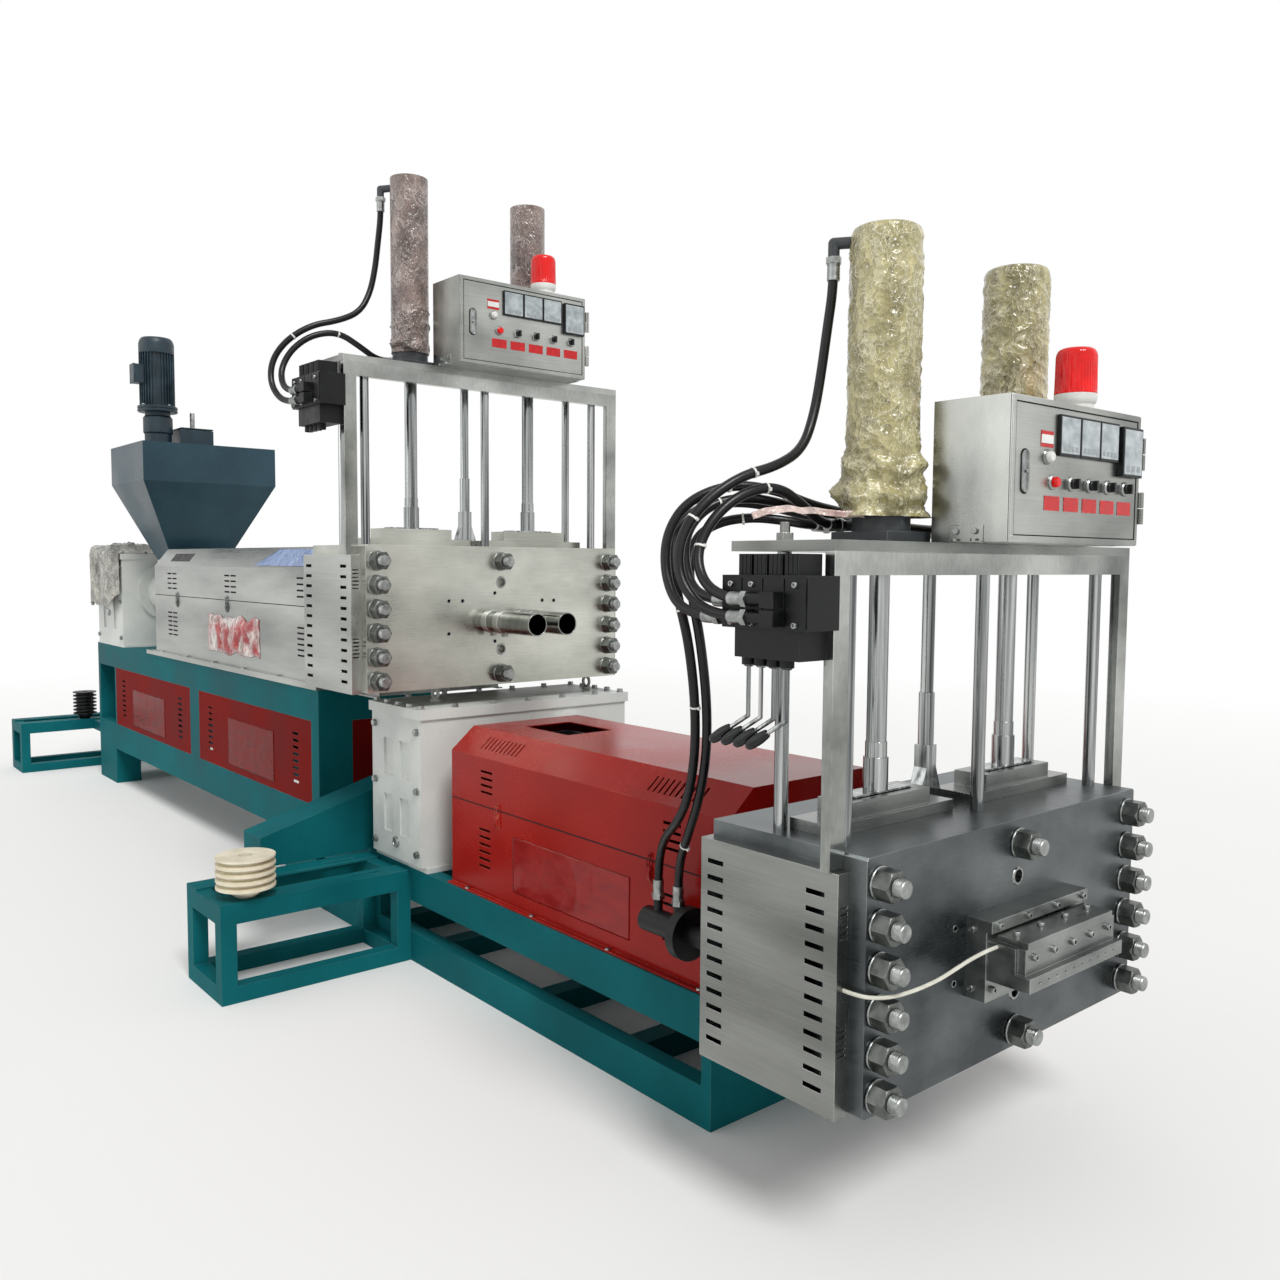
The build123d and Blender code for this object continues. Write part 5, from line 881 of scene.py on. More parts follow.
def make_plate_holes():
    """Small tapped holes with a turned rim on the front plates, each holding a near black disc of painted
    shade, and the centre ports' rings.
    """
    rim = Shape().turned(
        [(0.0, 0.0004), (0.0062, 0.0004), (0.0066, 0.0008), (0.0088, 0.0008), (0.0092, 0.0)], sides=24
    )
    # a near black disc inside each rim: painted shade for the hole's inside
    dark = Shape().turned([(0.0060, 0.0009), (0.0, 0.0009)], sides=20, ends=(True, False))
    port = Shape().turned(
        [(0.0168, -0.012), (0.0168, 0.003), (0.0215, 0.003), (0.024, 0.0)], sides=40, ends=(False, False)
    )
    holes = [((SECOND.face, y, z), FACING[FORWARD]) for y in (-0.263, 0.263) for z in (0.747, 0.615)]
    holes += [((FIRST.face, y, z), FACING[FORWARD]) for y, z in FIRST_HOLES]
    repeated("plate_hole_rims", rim, holes, finish["zinc plate"], "frame")
    repeated("plate_holes", dark, holes, finish["hollow"], "frame")
    ports = []
    for stage in STAGES:
        middle, half = (stage.low + stage.top) / 2, (stage.top - stage.low) / 2
        ports += [((stage.face, 0, middle + side * (half - 0.144)), FACING[FORWARD]) for side in (-1, 1)]
    repeated("port_rings", port, ports, finish["zinc plate"], "frame")


def make_die_screws():
    """Socket head screws of the strand die: cover, cheeks and adapter."""
    screw = Shape().turned(
        [(0.0085, 0), (0.0085, 0.0085), (0.0078, 0.0095), (0.0048, 0.0095), (0.0046, 0.004), (0.0, 0.004)],
        sides=24
    )
    places = [((0.757 + 0.014, y, 0.757), FACING[FORWARD]) for y in (-0.19, -0.065, 0.065, 0.19)]
    places += [((0.757, y, 0.600), FACING[FORWARD]) for y in (-0.19, -0.095, 0.0, 0.095, 0.19)]
    places += [((0.72, -0.218, z), FACING[NEARWARD]) for z in (0.60, 0.742)]
    places += [((0.850, y, 0.700), FACING[FORWARD]) for y in (-0.17, -0.085, 0.0, 0.085, 0.17)]
    places += [((0.80, y, 0.736), FACING[UP]) for y in (-0.16, -0.055, 0.055, 0.16)]
    repeated("die_screws", screw, places, finish["zinc plate"], "frame")


# Cylinders, control boxes and lamps

def crumple(at, size, seed):
    """Folded noise about zero: sharp creases between dented faces."""
    point = Vector(at) / size + Vector((seed * 7.3, seed * 3.1, seed * 1.7))
    return noise.ridged_multi_fractal(point, 0.9, 2.1, 4, 0.95, 2.0) * 0.5 - 0.75


def film_sleeve(stage, side, seed, loose):
    """Packing film wound round one cylinder: creased, bunched at the foot and drawn over the cap."""
    low = stage.portal + TOP_PLATE + 0.062
    high = stage.portal + CYLINDER_TOP + 0.0045
    core, shoulder = 0.0745, 0.045
    x, y = stage.face - CYLINDER_BACK, side * CYLINDER_SIDE
    sides, levels = 128, 210
    rings = []
    for level in range(levels + 1):
        share = level / levels
        z = low + (high - low) * share
        drawn_in = max(0.0, (z - (high - shoulder)) / shoulder)
        base = core + (stage.film - 0.004 - core) * math.sqrt(max(0.0, 1 - drawn_in ** 2))
        foot = max(0.0, 1 - share / 0.30) ** 0.8
        ring = []
        for i in range(sides):
            a = 2 * math.pi * i / sides
            out = Vector((math.cos(a), math.sin(a), 0))
            wound = Vector((math.cos(a + 5 * z), math.sin(a + 5 * z), z * 5))
            lump = 0.5 + noise.noise(Vector((out.x * 1.6, out.y * 1.6, z * 9 + seed * 3))) * 1.1
            fold = crumple(wound * stage.film + Vector((0, 0, z)), 0.055, seed) * (0.008 + 0.016 * foot)
            tuck = 0.010 * foot * math.sin(z * 90 + 2.5 * noise.noise(out * 1.3 + Vector((seed, 0, 0))))
            r = base + loose * foot * max(0.0, lump) + (fold + tuck) * (1 - drawn_in ** 2)
            ring.append((x + max(r, core) * out.x, y + max(r, core) * out.y, z))
        rings.append(ring)
    for keep in (0.96, 0.88, 0.74, 0.56, 0.36, 0.16, 0.02):
        ring = []
        for i in range(sides):
            a = 2 * math.pi * i / sides
            fold = 0.0007 * noise.noise(Vector((6 * math.cos(a) * keep, 6 * math.sin(a) * keep, seed)))
            z = high + 0.0008 + fold
            ring.append((x + core * keep * math.cos(a), y + core * keep * math.sin(a), z))
        rings.append(ring)
    return Shape().rings(rings, ends=(False, True))


def make_films():
    """The film sleeves of the four cylinders, and the end that has come loose."""
    for stage, side, word, loose in (
        (FIRST, -1, "near", 0.012), (FIRST, 1, "far", 0.012), (SECOND, -1, "near", 0.038),
        (SECOND, 1, "far", 0.014),
    ):
        kind = "dark film" if stage is FIRST else "yellowed film"
        shape = film_sleeve(stage, side, 3.0 + side + 5 * stage.film, loose)
        shape.piece(f"{stage.name}_cylinder_film_{word}", finish[kind], "frame", "film", crisp=60)
    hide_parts("cylinder_films")
    loose_film_end()


Door = namedtuple("Door", "name body front near far low high")


def door_of(stage):
    """A stage's control door: its front face and its edges."""
    body, front, low = stage.name + "_control_door", stage.face + stage.door, stage.portal + TOP_PLATE
    return Door(stage.name, body, front, BOX_NEAR, BOX_FAR, low, low + BOX_HEIGHT)


def on_door(door, shape, y, z, half, below, above, back, proud):
    """Adds a block to a shape: its half width, its reach below and above, its back and front."""
    shape.slab((door.front + back, y - half, z - below), (door.front + proud, y + half, z + above))


def door_sheet(door):
    """The door's sheet with its hinge leaves and barrels, the raised rim and the seal line."""
    front, far = door.front, door.far
    sheet = Shape().slab(
        (front - 0.0037, door.near + 0.001, door.low + 0.001), (front, far - 0.001, door.high - 0.001)
    )
    pin = (front + 0.005, far + 0.010)
    for level in (door.low + 0.098, door.high - 0.138):
        sheet.turned([(0.005, 0), (0.005, 0.040)], Matrix.Translation((*pin, level)), 20)
        sheet.slab((front - 0.003, far - 0.002, level), (*pin, level + 0.040))
    made = sheet.piece(
        door.name + "_door_sheet", finish["box stainless"], door.body, "box_paint", bevel=0.0012
    )
    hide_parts(door.body)
    for name, kind, slot, margin, width, proud in (
        ("_door_rim", "box stainless", "box_paint", 0.003, 0.012, 0.0018),
        ("_door_seal", "seal rubber", "rubber_black", 0.015, 0.003, 0.0008),
    ):
        left, right, foot, head = door.near + margin, far - margin, door.low + margin, door.high - margin
        rim = Shape()
        for low, high in (
            ((left, foot), (right, foot + width)),
            ((left, head - width), (right, head)),
            ((left, foot + width), (left + width, head - width)),
            ((right - width, foot + width), (right, head - width)),
        ):
            rim.slab((front - 0.001, *low), (front + proud, *high))
        rim.piece(door.name + name, finish[kind], door.body, slot, bevel=0.0004)


def door_meters(door):
    """Three temperature meters in a row and a taller one: bezels, windows and rows of keys."""
    bezels, windows, keys = Shape(), Shape(), Shape()
    front, z = door.front, door.high - 0.079
    for number in range(3):
        y = door.near + 0.242 + number * 0.094
        on_door(door, bezels, y, z, 0.046, 0.048, 0.048, 0.0, 0.0085)
        on_door(door, windows, y, z, 0.042, 0.042, 0.043, 0.007, 0.0092)
        on_door(door, bezels, y, z, 0.042, 0.042, 0.042, -0.060, -0.005)
        for key in range(4):
            left = y - 0.034 + key * 0.0185
            keys.slab((front + 0.007, left, z - 0.036), (front + 0.0098, left + 0.0125, z - 0.024))
    y, z = door.near + 0.536, z - 0.021
    on_door(door, bezels, y, z, 0.050, 0.060, 0.064, 0.0, 0.016)
    on_door(door, windows, y, z, 0.045, 0.054, 0.058, 0.014, 0.0172)
    for key in range(3):
        left = y - 0.034 + key * 0.026
        keys.slab((front + 0.014, left, z - 0.046), (front + 0.018, left + 0.016, z - 0.032))
    bezels.piece(
        door.name + "_meter_bezels", finish["black plastic"], door.body, "cast_black", bevel=0.0012
    )
    windows.piece(
        door.name + "_meter_windows", finish["meter window"], door.body, "cast_black", bevel=0.0006
    )
    keys.piece(door.name + "_meter_keys", finish["grey key"], door.body, "cylinder_paint", bevel=0.0006)


def door_switches(door):
    """A red button and four turning switches over bare label plates, and a white button above."""
    rings, handles, labels = Shape(), Shape(), Shape()
    ring = [(0.0180, 0), (0.0180, 0.003), (0.0155, 0.006), (0.0125, 0.006)]
    cap = [(0.0122, 0.004), (0.0122, 0.014), (0.0100, 0.0175), (0.0, 0.0185)]
    for number in range(5):
        y, z = door.near + 0.178 + number * 0.087, door.low + 0.142
        at = facing((door.front, y, z), FORWARD)
        rings.turned(ring, at, 32)
        on_door(door, labels, y, z, 0.034, 0.066, -0.032, 0.0, 0.0012)
        if number == 0:
            buttons = Shape().turned(cap, at, 28)
        else:
            handles.turned([(0.0122, 0.004), (0.0122, 0.010), (0.0105, 0.012), (0.0, 0.012)], at, 28)
            handles.slab((-0.0120, -0.0045, 0.010), (0.0120, 0.0045, 0.0225), at)
    y, z = door.near + 0.150, door.low + 0.199
    at = facing((door.front, y, z), FORWARD)
    rings.turned(ring, at, 32)
    on_door(door, labels, y, z, 0.027, -0.022, 0.060, 0.0, 0.0012)
    white = Shape().turned(cap, at, 28)
    on_door(door, white, y, z, 0.026, -0.031, 0.051, 0.0005, 0.0018)
    white.piece(door.name + "_white_button", finish["white plastic"], door.body, "stainless")
    rings.piece(door.name + "_switch_rings", finish["zinc plate"], door.body, "chrome_rod")
    handles.piece(
        door.name + "_switch_handles", finish["grip plastic"], door.body, "cast_black", bevel=0.0008
    )
    labels.piece(door.name + "_label_plates", finish["red label"], door.body, "lamp", bevel=0.0004)
    buttons.piece(door.name + "_push_buttons", finish["red lens"], door.body, "lamp")


def door_latch(door):
    """A dished latch plate with round ends and its rubber rim."""
    half, radius = 0.034, 0.0145
    angles = [2 * math.pi * i / 32 for i in range(32)]
    outline = [
        (radius * math.cos(a), radius * math.sin(a) + math.copysign(half, math.sin(a))) for a in angles
    ]
    front, across, middle = door.front, door.near + 0.058, (door.low + door.high) / 2 - 0.005
    levels = ((1.0, 0.0), (1.0, 0.003), (0.88, 0.0055), (0.7, 0.0055), (0.62, 0.002))
    rings = []
    for k, h in levels:
        rings.append(
            [(front + h, across + u * k, middle + v * (k if abs(v) < half else 1)) for u, v in outline]
        )
    plate = Shape().rings(rings)
    button = [(0.0048, 0.002), (0.0048, 0.009), (0.003, 0.010), (0.0, 0.010)]
    plate.turned(button, facing((front, across, middle), FORWARD), 20)
    plate.piece(door.name + "_door_latch", finish["zinc plate"], door.body, "chrome_rod")
    rings = [[(front + h, across + u * 1.16, middle + v * 1.06) for u, v in outline] for h in (0, 0.0012)]
    Shape().rings(rings).piece(door.name + "_latch_seal", finish["seal rubber"], door.body, "rubber_black")


def make_control_doors():
    """Both control doors with their meters, switches and latches."""
    for stage in STAGES:
        door = door_of(stage)
        door_sheet(door)
        door_meters(door)
        door_switches(door)
        door_latch(door)


def make_beacons():
    """Red ribbed lamp lenses on white bases."""
    bases, lenses = Shape(), Shape()
    for stage in STAGES:
        door = door_of(stage)
        at = Matrix.Translation((door.front - 0.1045, 0.232, door.high))
        bases.turned(
            [
                (0.047, 0), (0.047, 0.008), (0.0455, 0.010), (0.0455, 0.026), (0.050, 0.030),
                (0.0525, 0.040), (0.0525, 0.052), (0.0, 0.052)
            ],
            at, 56,
        )
        rings = []
        for r, h, rib in (
            (0.0525, 0.052, 0), (0.0525, 0.058, 0), (0.0515, 0.060, 1), (0.0505, 0.100, 1),
            (0.0500, 0.148, 1), (0.0490, 0.156, 0), (0.0455, 0.163, 0), (0.0390, 0.1675, 0),
            (0.0, 0.168, 0),
        ):
            ring = []
            for i in range(160):
                a = 2 * math.pi * i / 160
                ripple = 0.0007 * rib * math.cos(40 * a)
                ring.append(((r + ripple) * math.cos(a), (r + ripple) * math.sin(a), h))
            rings.append(ring)
        lenses.rings(rings, at)
    lens = lenses.piece("lamp_lenses", finish["red lens"], "frame", "lamp")
    bases.piece("lamp_bases", finish["white plastic"], "frame", "lamp")
    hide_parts("beacons")


def make_box_details():
    """Angle brackets of the control boxes, with their bolts."""
    brackets, bolts = Shape(), Shape()
    for stage in STAGES:
        foot = stage.portal + TOP_PLATE
        front = stage.face + stage.door - 0.004
        for y, upright in ((-0.246, -0.246 + 0.013), (BOX_FAR, BOX_FAR)):
            brackets.slab((front - 0.150, y, foot), (front - 0.060, y + 0.016, foot + 0.003))
            brackets.slab((front - 0.150, upright, foot), (front - 0.060, upright + 0.003, foot + 0.040))
        for x in (front - 0.130, front - 0.080):
            bolts.nut(0.013, 0.006, facing((x, -0.2335, foot + 0.026), NEARWARD))
            bolts.nut(0.013, 0.006, facing((x, -0.239, foot + 0.003), UP))
    brackets.piece("box_brackets", finish["box stainless"], "frame", "stainless", bevel=0.0008)
    bolts.piece("box_bracket_bolts", finish["zinc plate"], "frame", "stainless")


# Valves

def make_valve_details():
    """Ribs on the coil caps, screws on the valve bodies and the levers' grips."""
    rib = Shape().slab((-0.0035, -0.0387, 0.002), (0.0035, 0.0387, 0.0455))
    section = Shape().slab((-0.0285, -0.0025, 0.006), (0.0285, 0.0, 0.109))
    screw = Shape().turned(
        [(0.0065, 0), (0.0065, 0.006), (0.0060, 0.0068), (0.0036, 0.0068), (0.0036, 0.003), (0.0, 0.003)],
        sides=20
    )
    ribs, screws, sections = [], [], []
    for stage in STAGES:
        middle = stage.face - 0.173
        for number in range(4):
            x = middle + (number - 1.5) * 0.045
            ribs += [
                ((x + shift, -0.695, stage.portal - 0.053), FACING[UP]) for shift in (-0.012, 0.0, 0.012)
            ]
            across = middle + (number - 1.5) * 0.062
            sections.append(((across, -0.745, stage.portal - 0.168), FACING[UP]))
            if number != 2:  # the third section shows no screws
                screws += [((across, -0.7475, stage.portal - z), FACING[NEARWARD]) for z in (0.072, 0.156)]
    repeated("valve_cap_ribs", rib, ribs, finish["black casting"], "frame")
    repeated("valve_sections", section, sections, finish["black casting"], "frame")
    repeated("valve_screws", screw, screws, finish["zinc plate"], "frame")
    for number in range(4):
        pivot = Vector((0.440 + 0.038 * number, -0.695, 1.378))
        bend = pivot + Vector((0, 0, -0.120))
        grip = bend + Vector((-0.040, -0.015, -0.030))
        way = (grip - bend).normalized()
        profile = [
            (0.0052, -0.002), (0.0092, 0.0), (0.0108, 0.006), (0.0128, 0.020), (0.0132, 0.032),
            (0.0122, 0.046), (0.0100, 0.056), (0.0060, 0.0605), (0.0, 0.0615),
        ]
        shape = Shape().turned(profile, facing(grip, way), 28)
        shape.piece(
            f"lever_grip_{number + 1}", finish["grip plastic"], f"valve_lever_{number + 1}", "cast_black"
        )


# Covers

def make_latches():
    """Toggle latches: plate, lever and wire loop below, keeper on the lid."""
    for cover, kind in ((FIRST_COVER, "nut steel"), (SECOND_COVER, "red enamel")):
        lid, half, split = cover.lid, cover.half, cover.split
        plates, keepers = Shape(), Shape()
        for x in cover.latches:
            plates.slab((x - 0.012, -half - 0.002, split - 0.068), (x + 0.012, -half, split - 0.003))
            rings = []
            for k in range(9):
                share = k / 8
                rise = 0.003 + 0.007 * math.sin(share * math.pi)
                z = split - 0.064 + 0.050 * share
                rings.append(
                    [
                        (x + u, -half - 0.002 - v * rise, z)
                        for u, v in ((-0.009, 0), (-0.009, 1), (0.009, 1), (0.009, 0))
                    ]
                )
            plates.rings(rings)
            for side in (-1, 1):
                low = (x + side * 0.006, -half - 0.0085, split - 0.024)
                plates.turned([(0.0014, 0), (0.0014, 0.040)], facing(low, UP), 12)
            plates.turned(
                [(0.0014, -0.0065), (0.0014, 0.0065)], facing((x, -half - 0.0085, split + 0.016), FORWARD),
                12
            )
            plates.turned(
                [(0.0035, -0.011), (0.0035, 0.011)], facing((x, -half - 0.006, split - 0.026), FORWARD), 16
            )
            keepers.slab((x - 0.009, -half - 0.0015, split + 0.004), (x + 0.009, -half, split + 0.026))
            keepers.slab((x - 0.005, -half - 0.011, split + 0.0105), (x + 0.005, -half, split + 0.0135))
            keepers.slab(
                (x - 0.005, -half - 0.0115, split + 0.0105), (x + 0.005, -half - 0.0103, split + 0.020)
            )
        made = plates.piece(lid + "_latches", finish[kind], "frame", "chrome_rod", bevel=0.0004)
        keepers.piece(lid + "_keepers", finish[kind], lid, "chrome_rod", bevel=0.0004)
    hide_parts("cover_latches")


def film_piece(name, kind, body, across, up, place, crisp=80, thickness=0.0004):
    """A thin film by a rule that gives its points from two shares, across and up."""
    rows = [[tuple(place(i / across, j / up)) for i in range(across + 1)] for j in range(up + 1)]
    shape = Shape().rings(rows, ends=(False, False), closed=False)
    shape.piece(name, finish[kind], body, "film", crisp=crisp, thickness=thickness)


def filmed_plate(name, kind, x, z, y, seed):
    """A bare plate under film on a near side: a puckered sheet with its rim pressed flat."""
    def place(u, v):
        at = Vector((x[0] + (x[1] - x[0]) * u, 0, z[0] + (z[1] - z[0]) * v))
        edge = min(1.0, 12 * min(u, 1 - u), 6 * min(v, 1 - v))
        puff = 0.002 * edge * (0.55 + crumple(at, 0.11, seed) * 0.75)
        wave = 0.003 * noise.noise(at * 14 + Vector((seed, 0, 0)))
        return at.x + wave, y - 0.0012 - max(0.0, puff), at.z + wave

    film_piece(name, kind, "frame", 110, 44, place, crisp=70)


def torn_film():
    """Loose clear film over the first cover's card: upright folds with a ragged hem."""
    def place(u, v):
        x = -4.262 + 0.780 * u + 0.030 * noise.noise(Vector((u * 4, v * 3, 1.0)))
        hem = 0.030 * noise.noise(Vector((u * 6, 0, 2.0)))
        crown = 0.030 * noise.noise(Vector((u * 7, 0, 5.0)))
        z = 1.085 + hem + (0.205 + crown - hem) * v
        lean = u + 0.05 * v
        fold = 0.016 * abs(math.sin(lean * 19 + 2.0 * noise.noise(Vector((lean * 5, v * 1.2, 3.0)))))
        rim = min(1.0, 9 * min(u, 1 - u), 7 * min(v, 1 - v))
        lift = 0.0015 + rim * (fold + max(0.0, crumple((x, 0, z), 0.06, 3.0) + 0.5) * 0.007)
        return x, -FIRST_COVER.half - lift, z

    film_piece("first_card_torn_film", "torn film", "frame", 150, 60, place)


def shoulder_film():
    """Pale blue protective film left on the first lid's near shoulder."""
    def place(u, v):
        rise = 0.10 + 0.80 * v
        x = (-3.590 + 0.240 * rise) * (1 - u) + (-2.660 + 0.060 * rise) * u
        wave = 0.0012 + 0.0016 * abs(noise.noise(Vector((x * 9, rise * 2, 4.0))))
        return x, -FIRST_COVER.half + 0.085 * rise - wave * 0.783, 1.560 + 0.107 * rise + wave * 0.622

    film_piece("first_lid_blue_film", "blue film", "first_cover_lid", 60, 14, place, thickness=0.0003)


def loose_film_end():
    """The loose end of the near second cylinder's film, lying over the portal's near nut."""
    way = (
        (0.498, -0.372, 1.706), (0.462, -0.425, 1.708), (0.428, -0.486, 1.714), (0.402, -0.542, 1.7165),
        (0.384, -0.585, 1.710), (0.372, -0.618, 1.698),
    )

    def place(u, v):
        reach = u * (len(way) - 1)
        k = min(int(reach), len(way) - 2)
        at = Vector(way[k]).lerp(Vector(way[k + 1]), reach - k)
        lean = 0.004 * noise.noise(Vector((reach * 1.7, v * 2, 1.0))) - 0.006 * v
        rise = 0.016 * v + 0.004 * noise.noise(Vector((reach * 2, 0, 3.0)))
        return at + Vector((0.85 * lean, 0.5 * lean, rise))

    film_piece("second_loose_film_end", "rose film", "frame", 70, 11, place)


def make_cover_details():
    """Plates under film, the torn and blue films, seal lines, near black vent slots of painted shade and
    the foot flanges' screws.
    """
    for name, kind, x, z, y, seed in (
        (
            "second_cover_plate", "filmed red plate", (-1.042, -0.397), (0.437, 0.635), -SECOND_COVER.half,
            2.0
        ),
        ("first_panel_card_rear", "filmed panel plate", (-5.77, -5.08), (0.470, 0.715), PANEL_FACE, 6.0),
        ("first_panel_card_front", "filmed panel plate", (-3.95, -3.30), (0.470, 0.730), PANEL_FACE, 8.0),
    ):
        filmed_plate(name, kind, x, z, y, seed)
    torn_film()
    shoulder_film()
    seals = Shape()
    for cover in COVERS:
        for side in (-1, 1):
            seals.slab(
                (cover.rear + 0.004, side * cover.half - 0.0008, cover.split - 0.002),
                (cover.front - 0.004, side * cover.half + 0.0008, cover.split + 0.002),
            )
    seals.piece("cover_seals", finish["seal rubber"], "frame", "rubber_black")
    # near black slabs laid on the sheet as vent slots: painted shade
    vent_shade = Shape().slab((-0.039, -0.0004, -0.0045), (0.039, 0.0004, 0.0045))
    flat = (0, 0, 0)
    vent_shades = {"first_cover_lid": [], "frame": []}
    for y in (-FIRST_COVER.half, FIRST_COVER.half):
        for x in (-4.853, -3.853, -2.958, -2.861):
            vent_shades["first_cover_lid"] += [((x, y, 1.4245 + 0.030 * row), flat) for row in range(4)]
        for x in (-4.853, -2.958, -2.861):
            vent_shades["frame"] += [((x, y, 1.1392 + 0.027 * row), flat) for row in range(6)]
    for body, places in vent_shades.items():
        repeated(f"first_vents_{body}", vent_shade, places, finish["hollow"], body)
    # near black slabs on the lid's shoulder as slots: painted shade
    slot = Shape().slab((-0.006, -0.0004, -0.030), (0.006, 0.0004, 0.030))
    tilt = math.atan2(0.107, 0.085) - math.pi / 2
    slots = [((-4.990 + 0.024 * number, -0.2579, 1.6137), (tilt, 0, 0)) for number in range(15)]
    repeated("first_shoulder_vents", slot, slots, finish["hollow"], "first_cover_lid")
    screw = Shape().turned(
        [(0.0095, 0), (0.0095, 0.002), (0.0085, 0.0045), (0.0050, 0.0062), (0.0, 0.0066)], sides=24
    )
    places = []
    for xs, half, z in (
        (np.linspace(-1.33, -0.07, 4), 0.356, 0.386), (np.linspace(-5.10, -2.30, 7), 0.311, 1.020)
    ):
        places += [((float(x), side * half, z), FACING[UP]) for x in xs for side in (-1, 1)]
    repeated("cover_screws", screw, places, finish["zinc plate"], "frame")


# Frames, gearboxes, hopper and motors

def make_gearbox_details():
    """Bolts, plugs and bearing caps of both gearboxes."""
    bolt = Shape().turned([(0.0, 0), (0.0145, 0), (0.0145, 0.0025), (0.0, 0.0025)], sides=28)
    bolt.nut(0.024, 0.012, Matrix.Translation((0, 0, 0.0025)))
    places = []
    for (rear, front), (near, far), foot, top in GEARBOXES:
        for at in np.linspace(rear + 0.02, front - 0.02, 5):
            places += [((float(at), y, top), FACING[UP]) for y in (near + 0.012, far - 0.012)]
        for at in np.linspace(near + 0.16, far - 0.16, 5):
            places += [((x, float(at), top), FACING[UP]) for x in (rear + 0.012, front - 0.012)]
        for z in (foot + 0.05, foot + 0.30, top - 0.09):
            places += [((at, near, z), FACING[NEARWARD]) for at in (rear + 0.03, front - 0.03)]
    repeated("gearbox_bolts", bolt, places, finish["zinc plate"], "frame")
    caps = Shape()
    for at, radius in (((-1.610, 0.43, 0.68), 0.085), ((-1.610, 0.30, 0.90), 0.055)):
        caps.turned(
            [
                (radius + 0.02, 0), (radius + 0.02, 0.012), (radius, 0.016), (radius * 0.6, 0.016),
                (0.0, 0.018)
            ],
            facing(at, FORWARD), 48,
        )
    caps.piece("bearing_caps", finish["off-white enamel"], "frame", "gearbox_paint")
    glass = Shape()
    rim = [(0.022, 0), (0.022, 0.008), (0.016, 0.010), (0.015, 0.006), (0.0, 0.006)]
    for at in ((-6.30, -0.307, 1.22), (-1.815, -0.393, 0.47)):
        glass.turned(rim, facing(at, NEARWARD), 32)
    glass.piece("oil_sights", finish["zinc plate"], "frame", "gearbox_paint")


def make_gearbox_film():
    """Crumpled film thrown over the rear gearbox, heaped on its lid and hanging down its near side."""
    laid, length = 0.60, 0.95

    def place(u, v):
        run = length * v
        hang = max(0.0, run - laid)
        turn = max(0.0, min(1.0, (run - 0.55) / 0.1))
        at = Vector((-6.605 + 0.640 * u, 0.276 - min(run, laid), 1.6405 - hang))
        way = (Vector(UP) * (1 - turn) + Vector(NEARWARD) * turn).normalized()
        heap = 0.045 * (0.5 + noise.noise(Vector((u * 3, run * 4, 5.0)))) * (1 - 0.5 * turn)
        fold = max(0.0, crumple(at + Vector((0, 0, run)), 0.12, 9.0) + 0.55) * 0.040
        rim = min(1.0, 7 * u + 0.02, 7 * (1 - u) + 0.02, 9 * run + 0.02)
        at += way * (0.001 + rim * (0.012 + max(0.0, heap) + fold))
        at.z += hang * 0.45 * noise.noise(Vector((u * 3.5, 0, 2.0)))
        return at

    film_piece("gearbox_film", "grey film", "frame", 120, 140, place, thickness=0.0006)


